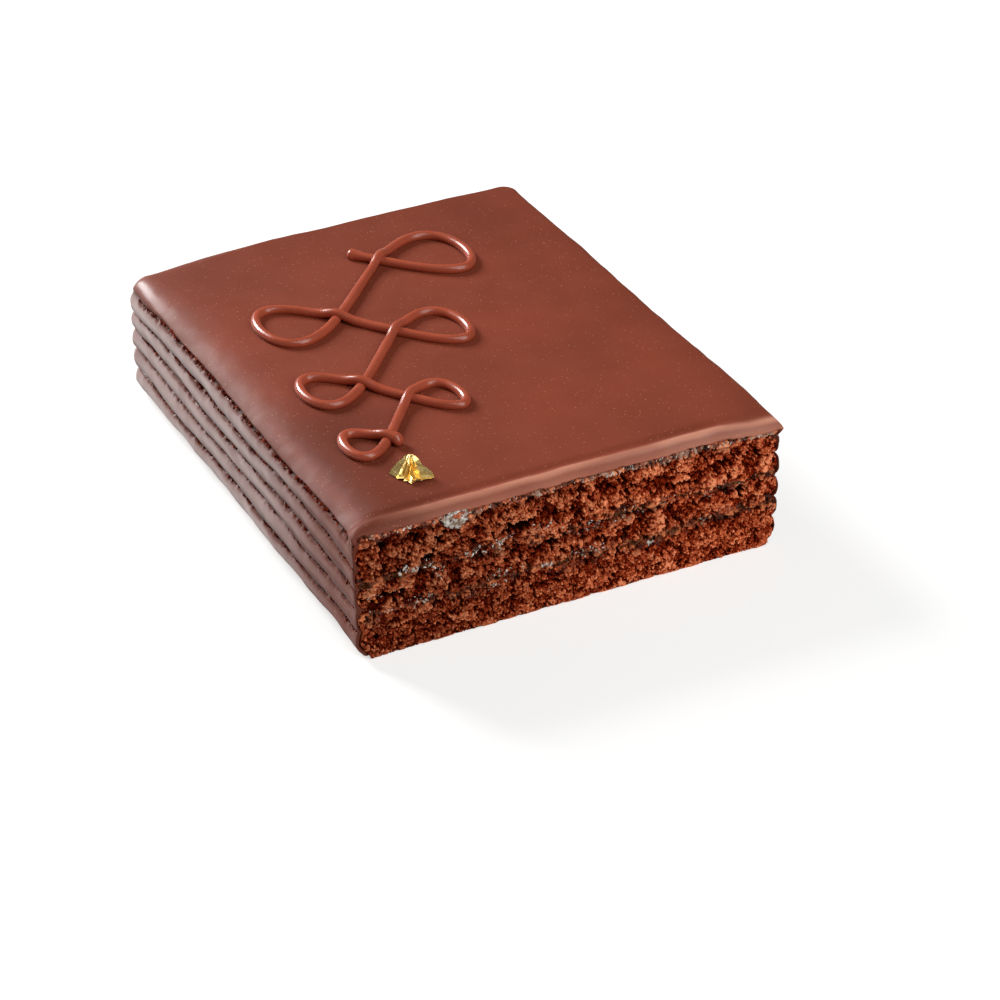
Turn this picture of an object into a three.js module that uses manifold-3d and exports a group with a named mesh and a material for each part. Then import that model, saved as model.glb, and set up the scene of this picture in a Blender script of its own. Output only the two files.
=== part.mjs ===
// A cut sachertorte: three torn chocolate sponges with apricot jam between them and on top,
// a dark glaze drawn over the top and the ribbed sides, a piped flourish and a flake of gold leaf.
// Millimetres, +Z up. The origin is at the middle of the underside, and the cut face looks along -Y.

import * as THREE from 'three';
import Module from 'manifold-3d';

// Whole cake
const CAKE_WIDTH = 136.5;
const CAKE_LENGTH = 172;
const CAKE_HEIGHT = 42;
const HALF_WIDTH = CAKE_WIDTH / 2;
const FRONT = -CAKE_LENGTH / 2;
const BACK = CAKE_LENGTH / 2;
const CORNER_RADIUS = 5;
const LEAST_CORNER_RADIUS = 1.2;
const CORNER_SHARPENING = 0.6;

// Ribbed side wall, seen in section
const RIM_RADIUS = 4;
const RIB_PITCH = 7;
const RIB_DEPTH = 1.5;
const RIB_COUNT = 5;
const RIB_ROUNDNESS = 0.6;
const TOP_GROOVE = 37.4;
const GROOVE_SHOULDER = 1.1;
const FOOT_HEIGHT = 6;
const FOOT_INSET = 3.2;
const FOOT_LEVELS = [1.6, 3.4];
const WALL_WAVE = 0.3;
const WALL_WAVE_RUN = 13;
const WALL_WAVE_CLIMB = 5;

// Glaze
const GLAZE_SIDE = 1.2;
const GLAZE_UNDERSIDE = 39.5;
const GLAZE_HEM = 0.6;
const GAP = 0.3;

// Glaze edge at the cut: distance behind the cut and height of the top surface there
const LIP = [
  { behind: 0, height: 40.6 },
  { behind: 1, height: 41.4 },
  { behind: 2.6, height: 41.85 },
  { behind: 5.5, height: 41.7 },
  { behind: 9, height: CAKE_HEIGHT },
];
const LIP_UNDERCUT = 0.25;

// Boundaries of the layers from the underside up, and how far each rises and falls along the cut
const BOUNDARIES = [
  { height: 0, wave: 0 },
  { height: 12.9, wave: 0.55 },
  { height: 14.6, wave: 0.55 },
  { height: 23.4, wave: 0.55 },
  { height: 25.1, wave: 0.55 },
  { height: 38.2, wave: 0.3 },
  { height: 39.2, wave: 0 },
];
const COAT_TOP = BOUNDARIES.at(-1).height;

// Depth of the crags on the cut face
const BASE_CRAG = 1.1;
const MIDDLE_CRAG = 1.8;
const TOP_CRAG = 2.4;
const JAM_CRAG = 2.2;
const CLUMP = 5;
const CLUMP_SHARE = 0.6;
const CRUMB = 2.3;
const CRAG_SEED = 7;
const CRAG_RUN = LIP[3].behind;

// Piped flourish: a garland of loops, each smaller than the last towards the front
const PIPE_RADIUS = 1.5;
const PIPE_SINK = 0.55;
const PIPE_START = new THREE.Vector2(-2, 62);
const PIPE_END = new THREE.Vector2(-36, -50);
const PIPE_SWINGS = 3;
const PIPE_EASE = 1.25;
const PIPE_WIDE = 40;
const PIPE_NARROW = 15;
const PIPE_LOOP_WIDE = 19;
const PIPE_LOOP_NARROW = 9;
const PIPE_SAMPLES = 2000;
const PIPE_STEP = 3.6;
const PIPE_SIDES = 8;
const CROSSING_LIFT = 0.7;
const CROSSING_REACH = 4;
const DROP_SWELL = 0.45;
const DROP_REACH = 3;

// Gold leaf
const LEAF_PLACE = new THREE.Vector2(-41, -65);
const LEAF_LENGTH = 14;
const LEAF_WIDTH = 10;
const LEAF_RISE = 1.6;
const LEAF_PEAK = 4.2;
const LEAF_PEAK_U = -0.15;
const LEAF_PEAK_V = 0.5;
const LEAF_PEAK_SPREAD = 0.5;
const LEAF_THICKNESS = 0.5;
const LEAF_CELLS = 8;
const LEAF_RAGGED = 0.25;
const LEAF_FOLDS = 1.6;
const LEAF_SEED = 31;

// How finely the surfaces are divided
const FRONT_CELLS = 54;
const BEHIND_CELLS = 10;
const LIP_CELLS = 24;
const SIDE_CELLS = 6;
const BACK_CELLS = 6;
const CORNER_CELLS = 3;
const RIM_CELLS = 3;
const LEAST_RING_STEP = 0.4;

// Smooth seeded noise between 0 and 1
function latticeValue(column, row, seed) {
  let mix = Math.imul(column, 374761393) + Math.imul(row, 668265263) + Math.imul(seed, 1274126177);
  mix = Math.imul(mix ^ (mix >>> 13), 1274126177);
  return ((mix ^ (mix >>> 16)) >>> 0) / 4294967295;
}

function noise(x, y, seed) {
  const column = Math.floor(x);
  const row = Math.floor(y);
  const across = THREE.MathUtils.smoothstep(x - column, 0, 1);
  const up = THREE.MathUtils.smoothstep(y - row, 0, 1);
  const along = (line) => THREE.MathUtils.lerp(
    latticeValue(column, line, seed), latticeValue(column + 1, line, seed), across);
  return THREE.MathUtils.lerp(along(row), along(row + 1), up);
}

// A surface gathered from shared points, rows of points and the triangles between them
class Surface {
  constructor() {
    this.positions = [];
    this.triangles = [];
  }

  row(points) {
    return points.map((point) => {
      this.positions.push(point.x, point.y, point.z);
      return this.positions.length / 3 - 1;
    });
  }

  place(index) {
    return new THREE.Vector3().fromArray(this.positions, 3 * index);
  }

  triangle(a, b, c, flipped) {
    if (flipped) {
      this.triangles.push(a, c, b);
    } else {
      this.triangles.push(a, b, c);
    }
  }

  // Fills between rows with equally many points; from outside, the first runs right with the second above it
  strip(first, second, flipped) {
    for (let i = 0; i + 1 < first.length; i++) {
      this.triangle(first[i], first[i + 1], second[i + 1], flipped);
      this.triangle(first[i], second[i + 1], second[i], flipped);
    }
  }

  // The same between rows with different numbers of points
  zip(first, second, flipped) {
    let i = 0;
    let j = 0;
    while (i + 1 < first.length || j + 1 < second.length) {
      const firstShare = (i + 1) / (first.length - 1);
      const secondShare = (j + 1) / (second.length - 1);
      if (j + 1 === second.length || (i + 1 < first.length && firstShare <= secondShare)) {
        this.triangle(first[i], first[i + 1], second[j], flipped);
        i++;
      } else {
        this.triangle(first[i], second[j + 1], second[j], flipped);
        j++;
      }
    }
  }

  // Fills a level ring that runs anticlockwise seen from above; it faces up unless flipped
  cap(ring, flipped) {
    const outline = ring.map((index) => new THREE.Vector2(this.place(index).x, this.place(index).y));
    for (const [a, b, c] of THREE.ShapeUtils.triangulateShape(outline, [])) {
      this.triangle(ring[a], ring[b], ring[c], flipped);
    }
  }

  // Fills a ring from a tip in its middle
  fan(ring, tip) {
    const [middle] = this.row([tip]);
    ring.forEach((index, i) => this.triangle(index, ring[(i + 1) % ring.length], middle, false));
  }

  geometry() {
    const geometry = new THREE.BufferGeometry();
    geometry.setAttribute('position', new THREE.Float32BufferAttribute(this.positions, 3));
    geometry.setIndex(this.triangles);
    return geometry;
  }
}

const closed = (ring) => [...ring, ring[0]];

// Heights at which the ribbed wall is sampled, from the hem to the coat of jam
function wallLevels() {
  const levels = [GLAZE_HEM, ...FOOT_LEVELS];
  for (let rib = RIB_COUNT - 1; rib >= 0; rib--) {
    const groove = TOP_GROOVE - rib * RIB_PITCH;
    levels.push(groove - RIB_PITCH / 2, groove - GROOVE_SHOULDER, groove, groove + GROOVE_SHOULDER);
  }
  levels.push(COAT_TOP);
  return levels;
}

// How far the wall stands in from the crests of the ribs
function ribInset(height) {
  const phase = Math.PI * (height - TOP_GROOVE) / RIB_PITCH;
  const rib = height < TOP_GROOVE + RIB_PITCH / 2 ? 1 - Math.abs(Math.sin(phase)) ** RIB_ROUNDNESS : 0;
  const foot = Math.max(0, (FOOT_HEIGHT - height) / FOOT_HEIGHT);
  const aboveRim = THREE.MathUtils.clamp(height - (CAKE_HEIGHT - RIM_RADIUS), 0, RIM_RADIUS);
  const rim = RIM_RADIUS - Math.sqrt(RIM_RADIUS ** 2 - aboveRim ** 2);
  return RIB_DEPTH * rib * (aboveRim > 0 ? 1 - aboveRim / RIM_RADIUS : 1) + FOOT_INSET * foot ** 2 + rim;
}

const LEVELS = wallLevels();
const LEVEL_INSETS = LEVELS.map(ribInset);
const RIM_TURN = Math.asin(1 - (CAKE_HEIGHT - COAT_TOP) / RIM_RADIUS);

// The same inset on the straight facets between the sampled heights
function facetInset(height) {
  const above = LEVELS.findIndex((level) => level >= height);
  if (above <= 0) {
    return above === 0 ? LEVEL_INSETS[0] : LEVEL_INSETS.at(-1);
  }
  const share = (height - LEVELS[above - 1]) / (LEVELS[above] - LEVELS[above - 1]);
  return THREE.MathUtils.lerp(LEVEL_INSETS[above - 1], LEVEL_INSETS[above], share);
}

// Upright lines of the wall: from the cut up the right side, round the back and down the left side to the cut
function wallColumns() {
  const right = LIP.map((row) => ({ side: 1, y: FRONT + row.behind }));
  const lastLip = FRONT + LIP.at(-1).behind;
  const lastStraight = BACK - 2 * CORNER_RADIUS;
  for (let cell = 1; cell <= SIDE_CELLS; cell++) {
    right.push({ side: 1, y: THREE.MathUtils.lerp(lastLip, lastStraight, cell / SIDE_CELLS) });
  }
  for (let cell = 0; cell <= CORNER_CELLS; cell++) {
    right.push({ side: 1, turn: 0.5 * Math.PI * cell / CORNER_CELLS });
  }
  const left = right.map((column) => ({ ...column, side: -1 })).reverse();
  const back = [];
  for (let cell = 1; cell < BACK_CELLS; cell++) {
    const reach = HALF_WIDTH - 2 * CORNER_RADIUS;
    back.push({ side: 0, x: THREE.MathUtils.lerp(reach, -reach, cell / BACK_CELLS) });
  }
  return [...right, ...back, ...left];
}

const COLUMNS = wallColumns();

// A point of the wall on one upright line, so far in from the crests
function wallPoint(column, inset, height) {
  const along = column.turn === undefined ? (column.y ?? column.x) : CAKE_LENGTH * column.side;
  const phase = along / WALL_WAVE_RUN + height / WALL_WAVE_CLIMB + column.side;
  const wave = WALL_WAVE * (1 + Math.sin(phase));
  const depth = inset + (column.turn === undefined ? wave : WALL_WAVE);
  if (column.side === 0) {
    return new THREE.Vector3(column.x, BACK - depth, height);
  }
  if (column.turn === undefined) {
    return new THREE.Vector3(column.side * (HALF_WIDTH - depth), column.y, height);
  }
  const radius = Math.max(CORNER_RADIUS - CORNER_SHARPENING * depth, LEAST_CORNER_RADIUS);
  return new THREE.Vector3(
    column.side * (HALF_WIDTH - depth - radius * (1 - Math.cos(column.turn))),
    BACK - depth - radius * (1 - Math.sin(column.turn)),
    height,
  );
}

// Depth of the torn crumb behind the plane of the cut
function cragDepth(x, z, depth) {
  const clumps = noise(x / CLUMP, z / CLUMP, CRAG_SEED);
  const crumbs = noise(x / CRUMB, z / CRUMB, CRAG_SEED + 1);
  return depth * THREE.MathUtils.lerp(crumbs, clumps, CLUMP_SHARE);
}

// Rise and fall of the boundary between two layers along the cut, none at the ends
function boundaryWave(x, boundary) {
  const ends = THREE.MathUtils.clamp((HALF_WIDTH - GLAZE_SIDE - Math.abs(x)) / CLUMP - 1, 0, 1);
  const swell = Math.sin(x / (2 * CLUMP) + boundary.height / CLUMP);
  const unevenness = noise(x / CLUMP, boundary.height, CRAG_SEED + 2) - 0.5;
  return ends * boundary.wave * (swell + unevenness);
}

// The ring of one layer at one height: the torn cut from left to right, then round behind the glaze
function layerRing(layer, height) {
  const inset = facetInset(height) + GLAZE_SIDE + GAP;
  const share = (height - layer.bottom.height) / (layer.top.height - layer.bottom.height);
  const onBoundary = share === 0 || share === 1;
  const behindCrags = COLUMNS.filter((column) => !(column.y < FRONT + CRAG_RUN));
  const rest = behindCrags.map((column) => wallPoint(column, inset, height));
  const left = rest.at(-1).x;
  const right = rest[0].x;
  const front = [];
  for (let cell = 0; cell <= FRONT_CELLS; cell++) {
    const x = THREE.MathUtils.lerp(left, right, cell / FRONT_CELLS);
    const wave = THREE.MathUtils.lerp(boundaryWave(x, layer.bottom), boundaryWave(x, layer.top), share);
    const depth = cragDepth(x, height, onBoundary ? BASE_CRAG : layer.crag);
    front.push(new THREE.Vector3(x, FRONT + depth, height + wave));
  }
  return [...front, ...rest];
}

// Heights of the rings of one layer: the wall's own levels between its two boundaries
function layerHeights(layer) {
  const lowest = layer.bottom.height + LEAST_RING_STEP;
  const highest = layer.top.height - LEAST_RING_STEP;
  const between = LEVELS.filter((level) => level > lowest && level < highest);
  if (between.length === 0) {
    between.push((lowest + highest) / 2);
  }
  return [layer.bottom.height, ...between, layer.top.height];
}

// The face of a layer on one boundary: uneven near the cut, level behind a row just inside it
function layerFace(surface, ring, flipped) {
  const front = ring.slice(0, FRONT_CELLS + 1);
  const rest = ring.slice(FRONT_CELLS + 1);
  const left = surface.place(rest.at(-1));
  const right = surface.place(rest[0]);
  const between = [];
  for (let cell = 1; cell < BEHIND_CELLS; cell++) {
    between.push(left.clone().lerp(right, cell / BEHIND_CELLS));
  }
  const behind = [rest.at(-1), ...surface.row(between), rest[0]];
  surface.zip(front, behind, flipped);
  surface.cap([...behind, ...rest.slice(1, -1)], flipped);
}

function layerGeometry(layer) {
  const surface = new Surface();
  const rings = layerHeights(layer).map((height) => surface.row(layerRing(layer, height)));
  for (let i = 0; i + 1 < rings.length; i++) {
    surface.strip(closed(rings[i]), closed(rings[i + 1]));
  }
  layerFace(surface, rings[0], true);
  layerFace(surface, rings.at(-1), false);
  return surface.geometry();
}

// One upright line of the glaze's outside; the rim dips with the lip near the cut
function outerColumn(column) {
  const lip = LIP.find((row) => column.y === FRONT + row.behind);
  const summit = lip === undefined ? CAKE_HEIGHT : lip.height;
  const points = LEVELS.map((level, i) => wallPoint(column, LEVEL_INSETS[i], level));
  for (let cell = 1; cell <= RIM_CELLS; cell++) {
    const turn = THREE.MathUtils.lerp(RIM_TURN, Math.PI / 2, cell / RIM_CELLS);
    const height = CAKE_HEIGHT - RIM_RADIUS * (1 - Math.sin(turn));
    const share = (height - COAT_TOP) / (CAKE_HEIGHT - COAT_TOP);
    const dipped = THREE.MathUtils.lerp(COAT_TOP, summit, share);
    const place = wallPoint(column, RIM_RADIUS * (1 - Math.cos(turn)), height);
    points.push(place.setZ(dipped));
  }
  return points;
}

function innerColumn(column) {
  const points = LEVELS.map((level, i) => wallPoint(column, LEVEL_INSETS[i] + GLAZE_SIDE, level));
  points.push(points.at(-1).clone().setZ(GLAZE_UNDERSIDE));
  return points;
}

// Points between two ends of a row that runs along the cut
function rowBetween(left, right, behind) {
  const points = [];
  for (let cell = 1; cell < LIP_CELLS; cell++) {
    const place = left.clone().lerp(right, cell / LIP_CELLS);
    points.push(place.setY(FRONT + behind));
  }
  return points;
}

// The glaze as a shell: ribbed walls on three sides, a flat top and a soft lip at the cut
function glazeShell() {
  const surface = new Surface();
  const outerPoints = COLUMNS.map(outerColumn);
  const innerPoints = COLUMNS.map(innerColumn);
  const outer = outerPoints.map((points) => surface.row(points));
  const inner = innerPoints.map((points) => surface.row(points));
  for (let i = 0; i + 1 < COLUMNS.length; i++) {
    surface.strip(outer[i + 1], outer[i]);
    surface.strip(inner[i], inner[i + 1]);
  }
  surface.strip(inner.map((column) => column[0]), outer.map((column) => column[0]));

  const last = COLUMNS.length - 1;
  const lipRows = LIP.map((row, i) => {
    const between = rowBetween(outerPoints[last - i].at(-1), outerPoints[i].at(-1), row.behind);
    return [outer[last - i].at(-1), ...surface.row(between), outer[i].at(-1)];
  });
  for (let i = 0; i + 1 < lipRows.length; i++) {
    surface.strip(lipRows[i], lipRows[i + 1]);
  }
  const behindLip = outer.slice(LIP.length, COLUMNS.length - LIP.length).map((column) => column.at(-1));
  surface.cap([...lipRows.at(-1), ...behindLip], false);

  const under = rowBetween(innerPoints[last].at(-1), innerPoints[0].at(-1), LIP_UNDERCUT);
  const underRow = [inner[last].at(-1), ...surface.row(under), inner[0].at(-1)];
  surface.strip(underRow, lipRows[0]);
  surface.cap([...underRow, ...inner.slice(1, last).map((column) => column.at(-1))], true);

  surface.zip(outer[0], inner[0], false);
  surface.zip(inner[last], outer[last], false);
  return surface.geometry();
}

// The line of the flourish on the top, swinging from side to side with a loop at each end
function pipePlace(share) {
  const phase = 2 * Math.PI * PIPE_SWINGS * share;
  const width = THREE.MathUtils.lerp(PIPE_WIDE, PIPE_NARROW, share);
  const loop = THREE.MathUtils.lerp(PIPE_LOOP_WIDE, PIPE_LOOP_NARROW, share);
  const middle = PIPE_START.clone().lerp(PIPE_END, 1 - (1 - share) ** PIPE_EASE);
  return new THREE.Vector2(middle.x + width * Math.sin(phase), middle.y - loop * Math.sin(2 * phase));
}

// The line stepped evenly along its length
function pipeLine() {
  const places = [];
  for (let i = 0; i <= PIPE_SAMPLES; i++) {
    const place = pipePlace(i / PIPE_SAMPLES);
    places.push(new THREE.Vector3(place.x, place.y, 0));
  }
  const curve = new THREE.CatmullRomCurve3(places);
  curve.arcLengthDivisions = PIPE_SAMPLES;
  return curve.getSpacedPoints(Math.round(curve.getLength() / PIPE_STEP));
}

// Where the line crosses itself, as pairs of steps
function crossings(line) {
  const found = [];
  const turn = (a, b, c) => (b.x - a.x) * (c.y - a.y) - (b.y - a.y) * (c.x - a.x);
  for (let i = 0; i + 1 < line.length; i++) {
    for (let j = i + 2; j + 1 < line.length; j++) {
      const parted = turn(line[i], line[i + 1], line[j]) * turn(line[i], line[i + 1], line[j + 1]) < 0;
      const across = turn(line[j], line[j + 1], line[i]) * turn(line[j], line[j + 1], line[i + 1]) < 0;
      if (parted && across) {
        found.push([i, j]);
      }
    }
  }
  return found;
}

// A closed round tube along part of the line, with a tip at each end
function pipeTube(line, radii, start, end) {
  const surface = new Surface();
  const rings = [];
  const tips = [];
  for (let i = start; i <= end; i++) {
    const ahead = line[Math.min(i + 1, line.length - 1)];
    const behind = line[Math.max(i - 1, 0)];
    const forward = ahead.clone().sub(behind).setZ(0).normalize();
    const aside = new THREE.Vector3(forward.y, -forward.x, 0);
    const ring = [];
    for (let side = 0; side < PIPE_SIDES; side++) {
      const turn = 2 * Math.PI * (side + 0.5) / PIPE_SIDES;
      const offset = aside.clone().multiplyScalar(radii[i] * Math.cos(turn)).setZ(radii[i] * Math.sin(turn));
      ring.push(line[i].clone().add(offset));
    }
    rings.push(surface.row(ring));
    tips.push(line[i].clone().addScaledVector(forward, i === start ? -radii[i] : radii[i]));
  }
  for (let i = 0; i + 1 < rings.length; i++) {
    surface.strip(closed(rings[i + 1]), closed(rings[i]));
  }
  surface.fan(rings[0], tips[0]);
  surface.fan(rings.at(-1).toReversed(), tips.at(-1));
  return surface.geometry();
}

// The flourish as tubes that don't cross themselves, the later pass lifted over the earlier one
function pipeTubes() {
  const line = pipeLine();
  const met = crossings(line);
  const last = line.length - 1;
  const radii = line.map((_, i) => {
    const fromEnd = Math.min(i, last - i) * PIPE_STEP;
    return PIPE_RADIUS * (1 + DROP_SWELL * Math.exp(-((fromEnd / DROP_REACH) ** 2)));
  });
  line.forEach((place, i) => {
    const lift = met.reduce((most, [, later]) => {
      const away = Math.abs(i - later - 0.5) * PIPE_STEP / CROSSING_REACH;
      return Math.max(most, CROSSING_LIFT * Math.exp(-(away ** 2)));
    }, 0);
    place.setZ(CAKE_HEIGHT + PIPE_RADIUS - PIPE_SINK + lift);
  });
  const breaks = met.map(([earlier, later]) => Math.round((earlier + later) / 2));
  const stops = [...new Set([0, ...breaks, last])].sort((a, b) => a - b);
  return stops.slice(1).map((stop, i) => pipeTube(line, radii, stops[i], stop));
}

// A flake of gold leaf: a thin crumpled sheet that stands up in a peak at the back, both faces divided alike
function leafGeometry() {
  const surface = new Surface();
  const sheet = (lift) => {
    const rows = [];
    for (let row = 0; row <= LEAF_CELLS; row++) {
      const points = [];
      for (let column = 0; column <= LEAF_CELLS; column++) {
        const u = 2 * column / LEAF_CELLS - 1;
        const v = 2 * row / LEAF_CELLS - 1;
        const reach = 1 - LEAF_RAGGED * noise(2 * u, 2 * v, LEAF_SEED);
        const crease = Math.abs(2 * noise(LEAF_FOLDS * u, LEAF_FOLDS * v, LEAF_SEED + 1) - 1);
        const fromPeak = Math.hypot(u - LEAF_PEAK_U, v - LEAF_PEAK_V) / LEAF_PEAK_SPREAD;
        const rise = LEAF_RISE * crease + LEAF_PEAK * Math.exp(-(fromPeak ** 2));
        points.push(new THREE.Vector3(
          LEAF_PLACE.x + 0.5 * LEAF_LENGTH * u * reach,
          LEAF_PLACE.y + 0.5 * LEAF_WIDTH * v * reach,
          CAKE_HEIGHT + GAP + rise + lift,
        ));
      }
      rows.push(surface.row(points));
    }
    return rows;
  };
  const under = sheet(0);
  const over = sheet(LEAF_THICKNESS);
  const rim = (rows) => [
    ...rows[0],
    ...rows.slice(1).map((row) => row.at(-1)),
    ...rows.at(-1).toReversed().slice(1),
    ...rows.slice(1, -1).map((row) => row[0]).toReversed(),
  ];
  for (let row = 0; row < LEAF_CELLS; row++) {
    surface.strip(over[row], over[row + 1]);
    surface.strip(under[row], under[row + 1], true);
  }
  surface.strip(closed(rim(under)), closed(rim(over)));
  return surface.geometry();
}

// Joining solids
const wasm = await Module();
wasm.setup();

function solidOf(geometry) {
  return new wasm.Manifold(new wasm.Mesh({
    numProp: 3,
    vertProperties: new Float32Array(geometry.getAttribute('position').array),
    triVerts: new Uint32Array(geometry.getIndex().array),
  }));
}

function geometryOf(solid) {
  const mesh = solid.getMesh();
  const geometry = new THREE.BufferGeometry();
  geometry.setAttribute('position', new THREE.BufferAttribute(mesh.vertProperties, 3));
  geometry.setIndex(new THREE.BufferAttribute(mesh.triVerts, 1));
  return geometry;
}

function glazeGeometry() {
  const solids = [glazeShell(), ...pipeTubes()].map(solidOf);
  return geometryOf(solids.reduce((whole, solid) => whole.add(solid)));
}

// The layers from the underside up, each between two boundaries
const LAYERS = [
  { name: 'sponge_base', crag: BASE_CRAG, finish: 'sponge' },
  { name: 'jam_lower', crag: JAM_CRAG, finish: 'jam' },
  { name: 'sponge_middle', crag: MIDDLE_CRAG, finish: 'sponge' },
  { name: 'jam_upper', crag: JAM_CRAG, finish: 'jam' },
  { name: 'sponge_top', crag: TOP_CRAG, finish: 'sponge' },
  { name: 'jam_coat', crag: JAM_CRAG, finish: 'jam' },
].map((layer, i) => ({ ...layer, bottom: BOUNDARIES[i], top: BOUNDARIES[i + 1] }));

const FINISHES = {
  sponge: { color: 0x6e3320, roughness: 0.9, metalness: 0 },
  jam: { color: 0x4a2410, roughness: 0.2, metalness: 0 },
  glaze: { color: 0x88453a, roughness: 0.35, metalness: 0 },
  gold: { color: 0xd9a93a, roughness: 0.25, metalness: 1 },
};

function piece(name, geometry, finish) {
  const mesh = new THREE.Mesh(geometry, new THREE.MeshStandardMaterial(FINISHES[finish]));
  mesh.name = name;
  return mesh;
}

const sachertorte = new THREE.Group();
for (const layer of LAYERS) {
  sachertorte.add(piece(layer.name, layerGeometry(layer), layer.finish));
}
sachertorte.add(piece('glaze', glazeGeometry(), 'glaze'));
sachertorte.add(piece('gold_leaf', leafGeometry(), 'gold'));

export default sachertorte;
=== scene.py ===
# A cut sachertorte: torn chocolate crumb, wet apricot jam, a satin glaze over ribbed sides,
# a piped flourish and a flake of gold leaf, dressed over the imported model.
# Sizes are in millimetres unless a name says otherwise, and meshes are turned into metres as they are made.

import math
from collections import namedtuple

import bmesh
import bpy
import numpy as np
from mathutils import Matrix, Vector


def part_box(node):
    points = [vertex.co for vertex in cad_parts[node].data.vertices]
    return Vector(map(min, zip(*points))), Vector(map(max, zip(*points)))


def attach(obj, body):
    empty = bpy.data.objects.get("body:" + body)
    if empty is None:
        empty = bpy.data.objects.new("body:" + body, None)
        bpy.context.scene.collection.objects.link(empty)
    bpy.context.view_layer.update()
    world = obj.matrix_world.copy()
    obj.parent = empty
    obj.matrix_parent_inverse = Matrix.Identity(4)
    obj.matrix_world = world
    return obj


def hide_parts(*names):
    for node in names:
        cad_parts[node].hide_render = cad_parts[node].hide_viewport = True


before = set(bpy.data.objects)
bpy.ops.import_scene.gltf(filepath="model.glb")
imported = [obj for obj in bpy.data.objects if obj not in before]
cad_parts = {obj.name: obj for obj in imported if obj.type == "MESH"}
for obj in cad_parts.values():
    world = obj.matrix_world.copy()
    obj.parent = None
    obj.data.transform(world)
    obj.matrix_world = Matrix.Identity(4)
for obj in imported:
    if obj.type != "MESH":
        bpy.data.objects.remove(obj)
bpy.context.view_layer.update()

MM = 0.001

# Whole cake, from the frame
GLAZE_LOW, GLAZE_HIGH = [np.array(corner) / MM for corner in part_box("glaze")]
HALF_WIDTH = float(GLAZE_HIGH[0])
FRONT = float(GLAZE_LOW[1])
BACK = float(GLAZE_HIGH[1])
HEM = float(GLAZE_LOW[2])
CAKE_HEIGHT = 42.0
CORNER_RADIUS = 5.0
LEAST_CORNER_RADIUS = 1.2
CORNER_SHARPENING = 0.6
SIDE_END = BACK - 2 * CORNER_RADIUS
BACK_END = HALF_WIDTH - 2 * CORNER_RADIUS

# Camera: bearing and height of the view, distance, and how far the middle of the picture is off the cake's
VIEW_AZIMUTH = math.radians(-27.02)
VIEW_ELEVATION = math.radians(32.15)
VIEW_DISTANCE = 963.9
VIEW_RIGHT = 18.15
VIEW_UP = -29.91
SENSOR = 36.0
LENS = 114.2
FLOOR_REACH_M = 4.0

# Soft lights: name, place and side in metres, power in watts
SOFTBOXES = [
    ("key", (-0.36, 0.94, 0.58), 0.45, 18.0),
    ("overhead", (0.25, -0.70, 1.35), 1.2, 11.0),
    ("fill", (0.45, -1.15, 0.65), 0.8, 6.5),
]
STUDIO_COLOUR = (1.0, 0.99, 0.98, 1)
STUDIO_STRENGTH = 0.08

# Ribbed wall
RIM_HEIGHT = 4.4
RIM_CELLS = 16
SLOPE_REACH = 13.0
SLOPE_RUN = 4.5
SLOPE_LEAST = math.exp(-SLOPE_REACH / SLOPE_RUN)
BACK_SLOPE = 0.5
ROUND_RADIUS = 2.4
SLOPE_DROOP = 0.7
SLOPE_DROOP_REACH = 9.0
RIB_PITCH = 7.0
RIB_DEPTH = 1.5
RIB_COUNT = 5
RIB_ROUNDNESS = 0.6
RIB_LEAN = 0.75
HEM_LEVELS = [1.2, 2.0, 2.6]
RIB_LEVELS = [0, 0.25, 0.55, 1.0, 1.6, 2.4, 3.5, 4.6, 5.4, 6.0, 6.45, 6.75]
TOP_GROOVE = 37.4
FOOT_HEIGHT = 6.0
FOOT_INSET = 3.2
WALL_WAVE = 0.3
WALL_WAVE_RUN = 13.0
WALL_WAVE_CLIMB = 5.0
GROOVE_WEAR = [1.0, 1.0, 1.0, 0.5, 1.0]
GROOVE_WANDER = 0.75
GROOVE_WANDER_SIZE = (17.0, RIB_PITCH)
PIT_DEPTH = 0.7
WALL_UNEVEN = 0.42
WALL_UNEVEN_SIZE = (11.0, 4.5)
WALL_DENTS = 0.2
WALL_DENT_SIZE = (10.0, 2.4)
RIB_AT_CUT = 0.3
RIB_FADE = 9.0
SLOPE_AT_CUT = 0.35
CORNER_DROOP = 1.1
CORNER_DROOP_REACH = 26.0
CORNER_CHAMFER = 0.5
CORNER_SHEEN = 0.3
CORNER_SHEEN_REACH = 20.0
GROOVE_DIP = 1.3
GROOVE_DIP_BELOW = (22, 36)
GROOVE_DIP_ABOVE = (38, CAKE_HEIGHT)
SLOPE_UNEVEN = 0.2
SLOPE_UNEVEN_SIZE = (7.0, 5.0)
SLOPE_WRINKLES = 0.09
SLOPE_WRINKLE_SIZE = (2.2, 7.0)

# Glaze
GLAZE_SIDE = 1.2
GLAZE_UNDERSIDE = 39.4
GAP = 0.3
TOP_MARGIN = 17.0
TOP_UNEVEN = 0.16
TOP_UNEVEN_SIZE = 45.0
LIP_DROP = 1.5
LIP_RUN = 1.3
LIP_CREST = 0.38
LIP_CREST_BEHIND = 3.2
LIP_CREST_RUN = 1.5
LIP_TROUGH = 0.6
LIP_TROUGH_BEHIND = 6.4
LIP_TROUGH_RUN = 1.8
LIP_WAVE_AT_END = 0.1
LIP_WAVE_END = (46, 64)
LIP_BULGE = 0.45
LIP_REACH = 12.0
LIP_SHEEN = 0.5
LIP_SETBACK = 1.3
LIP_SETBACK_LEFT = 1.4
LIP_LEFT_END = (-56, -67)
LIP_SETBACK_RIGHT = -2.4
LIP_RIGHT_END = (46, 60)
LIP_WANDER = 0.45
LIP_WANDER_RUN = 8.0
LIP_RAGGED = 0.25
LIP_RAGGED_SIZE = (6.0, 30.0)
LIP_RAGGED_REACH = 4.0
WALL_SETBACK = 0.9
WALL_TO_LIP = (33, 40)
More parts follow.
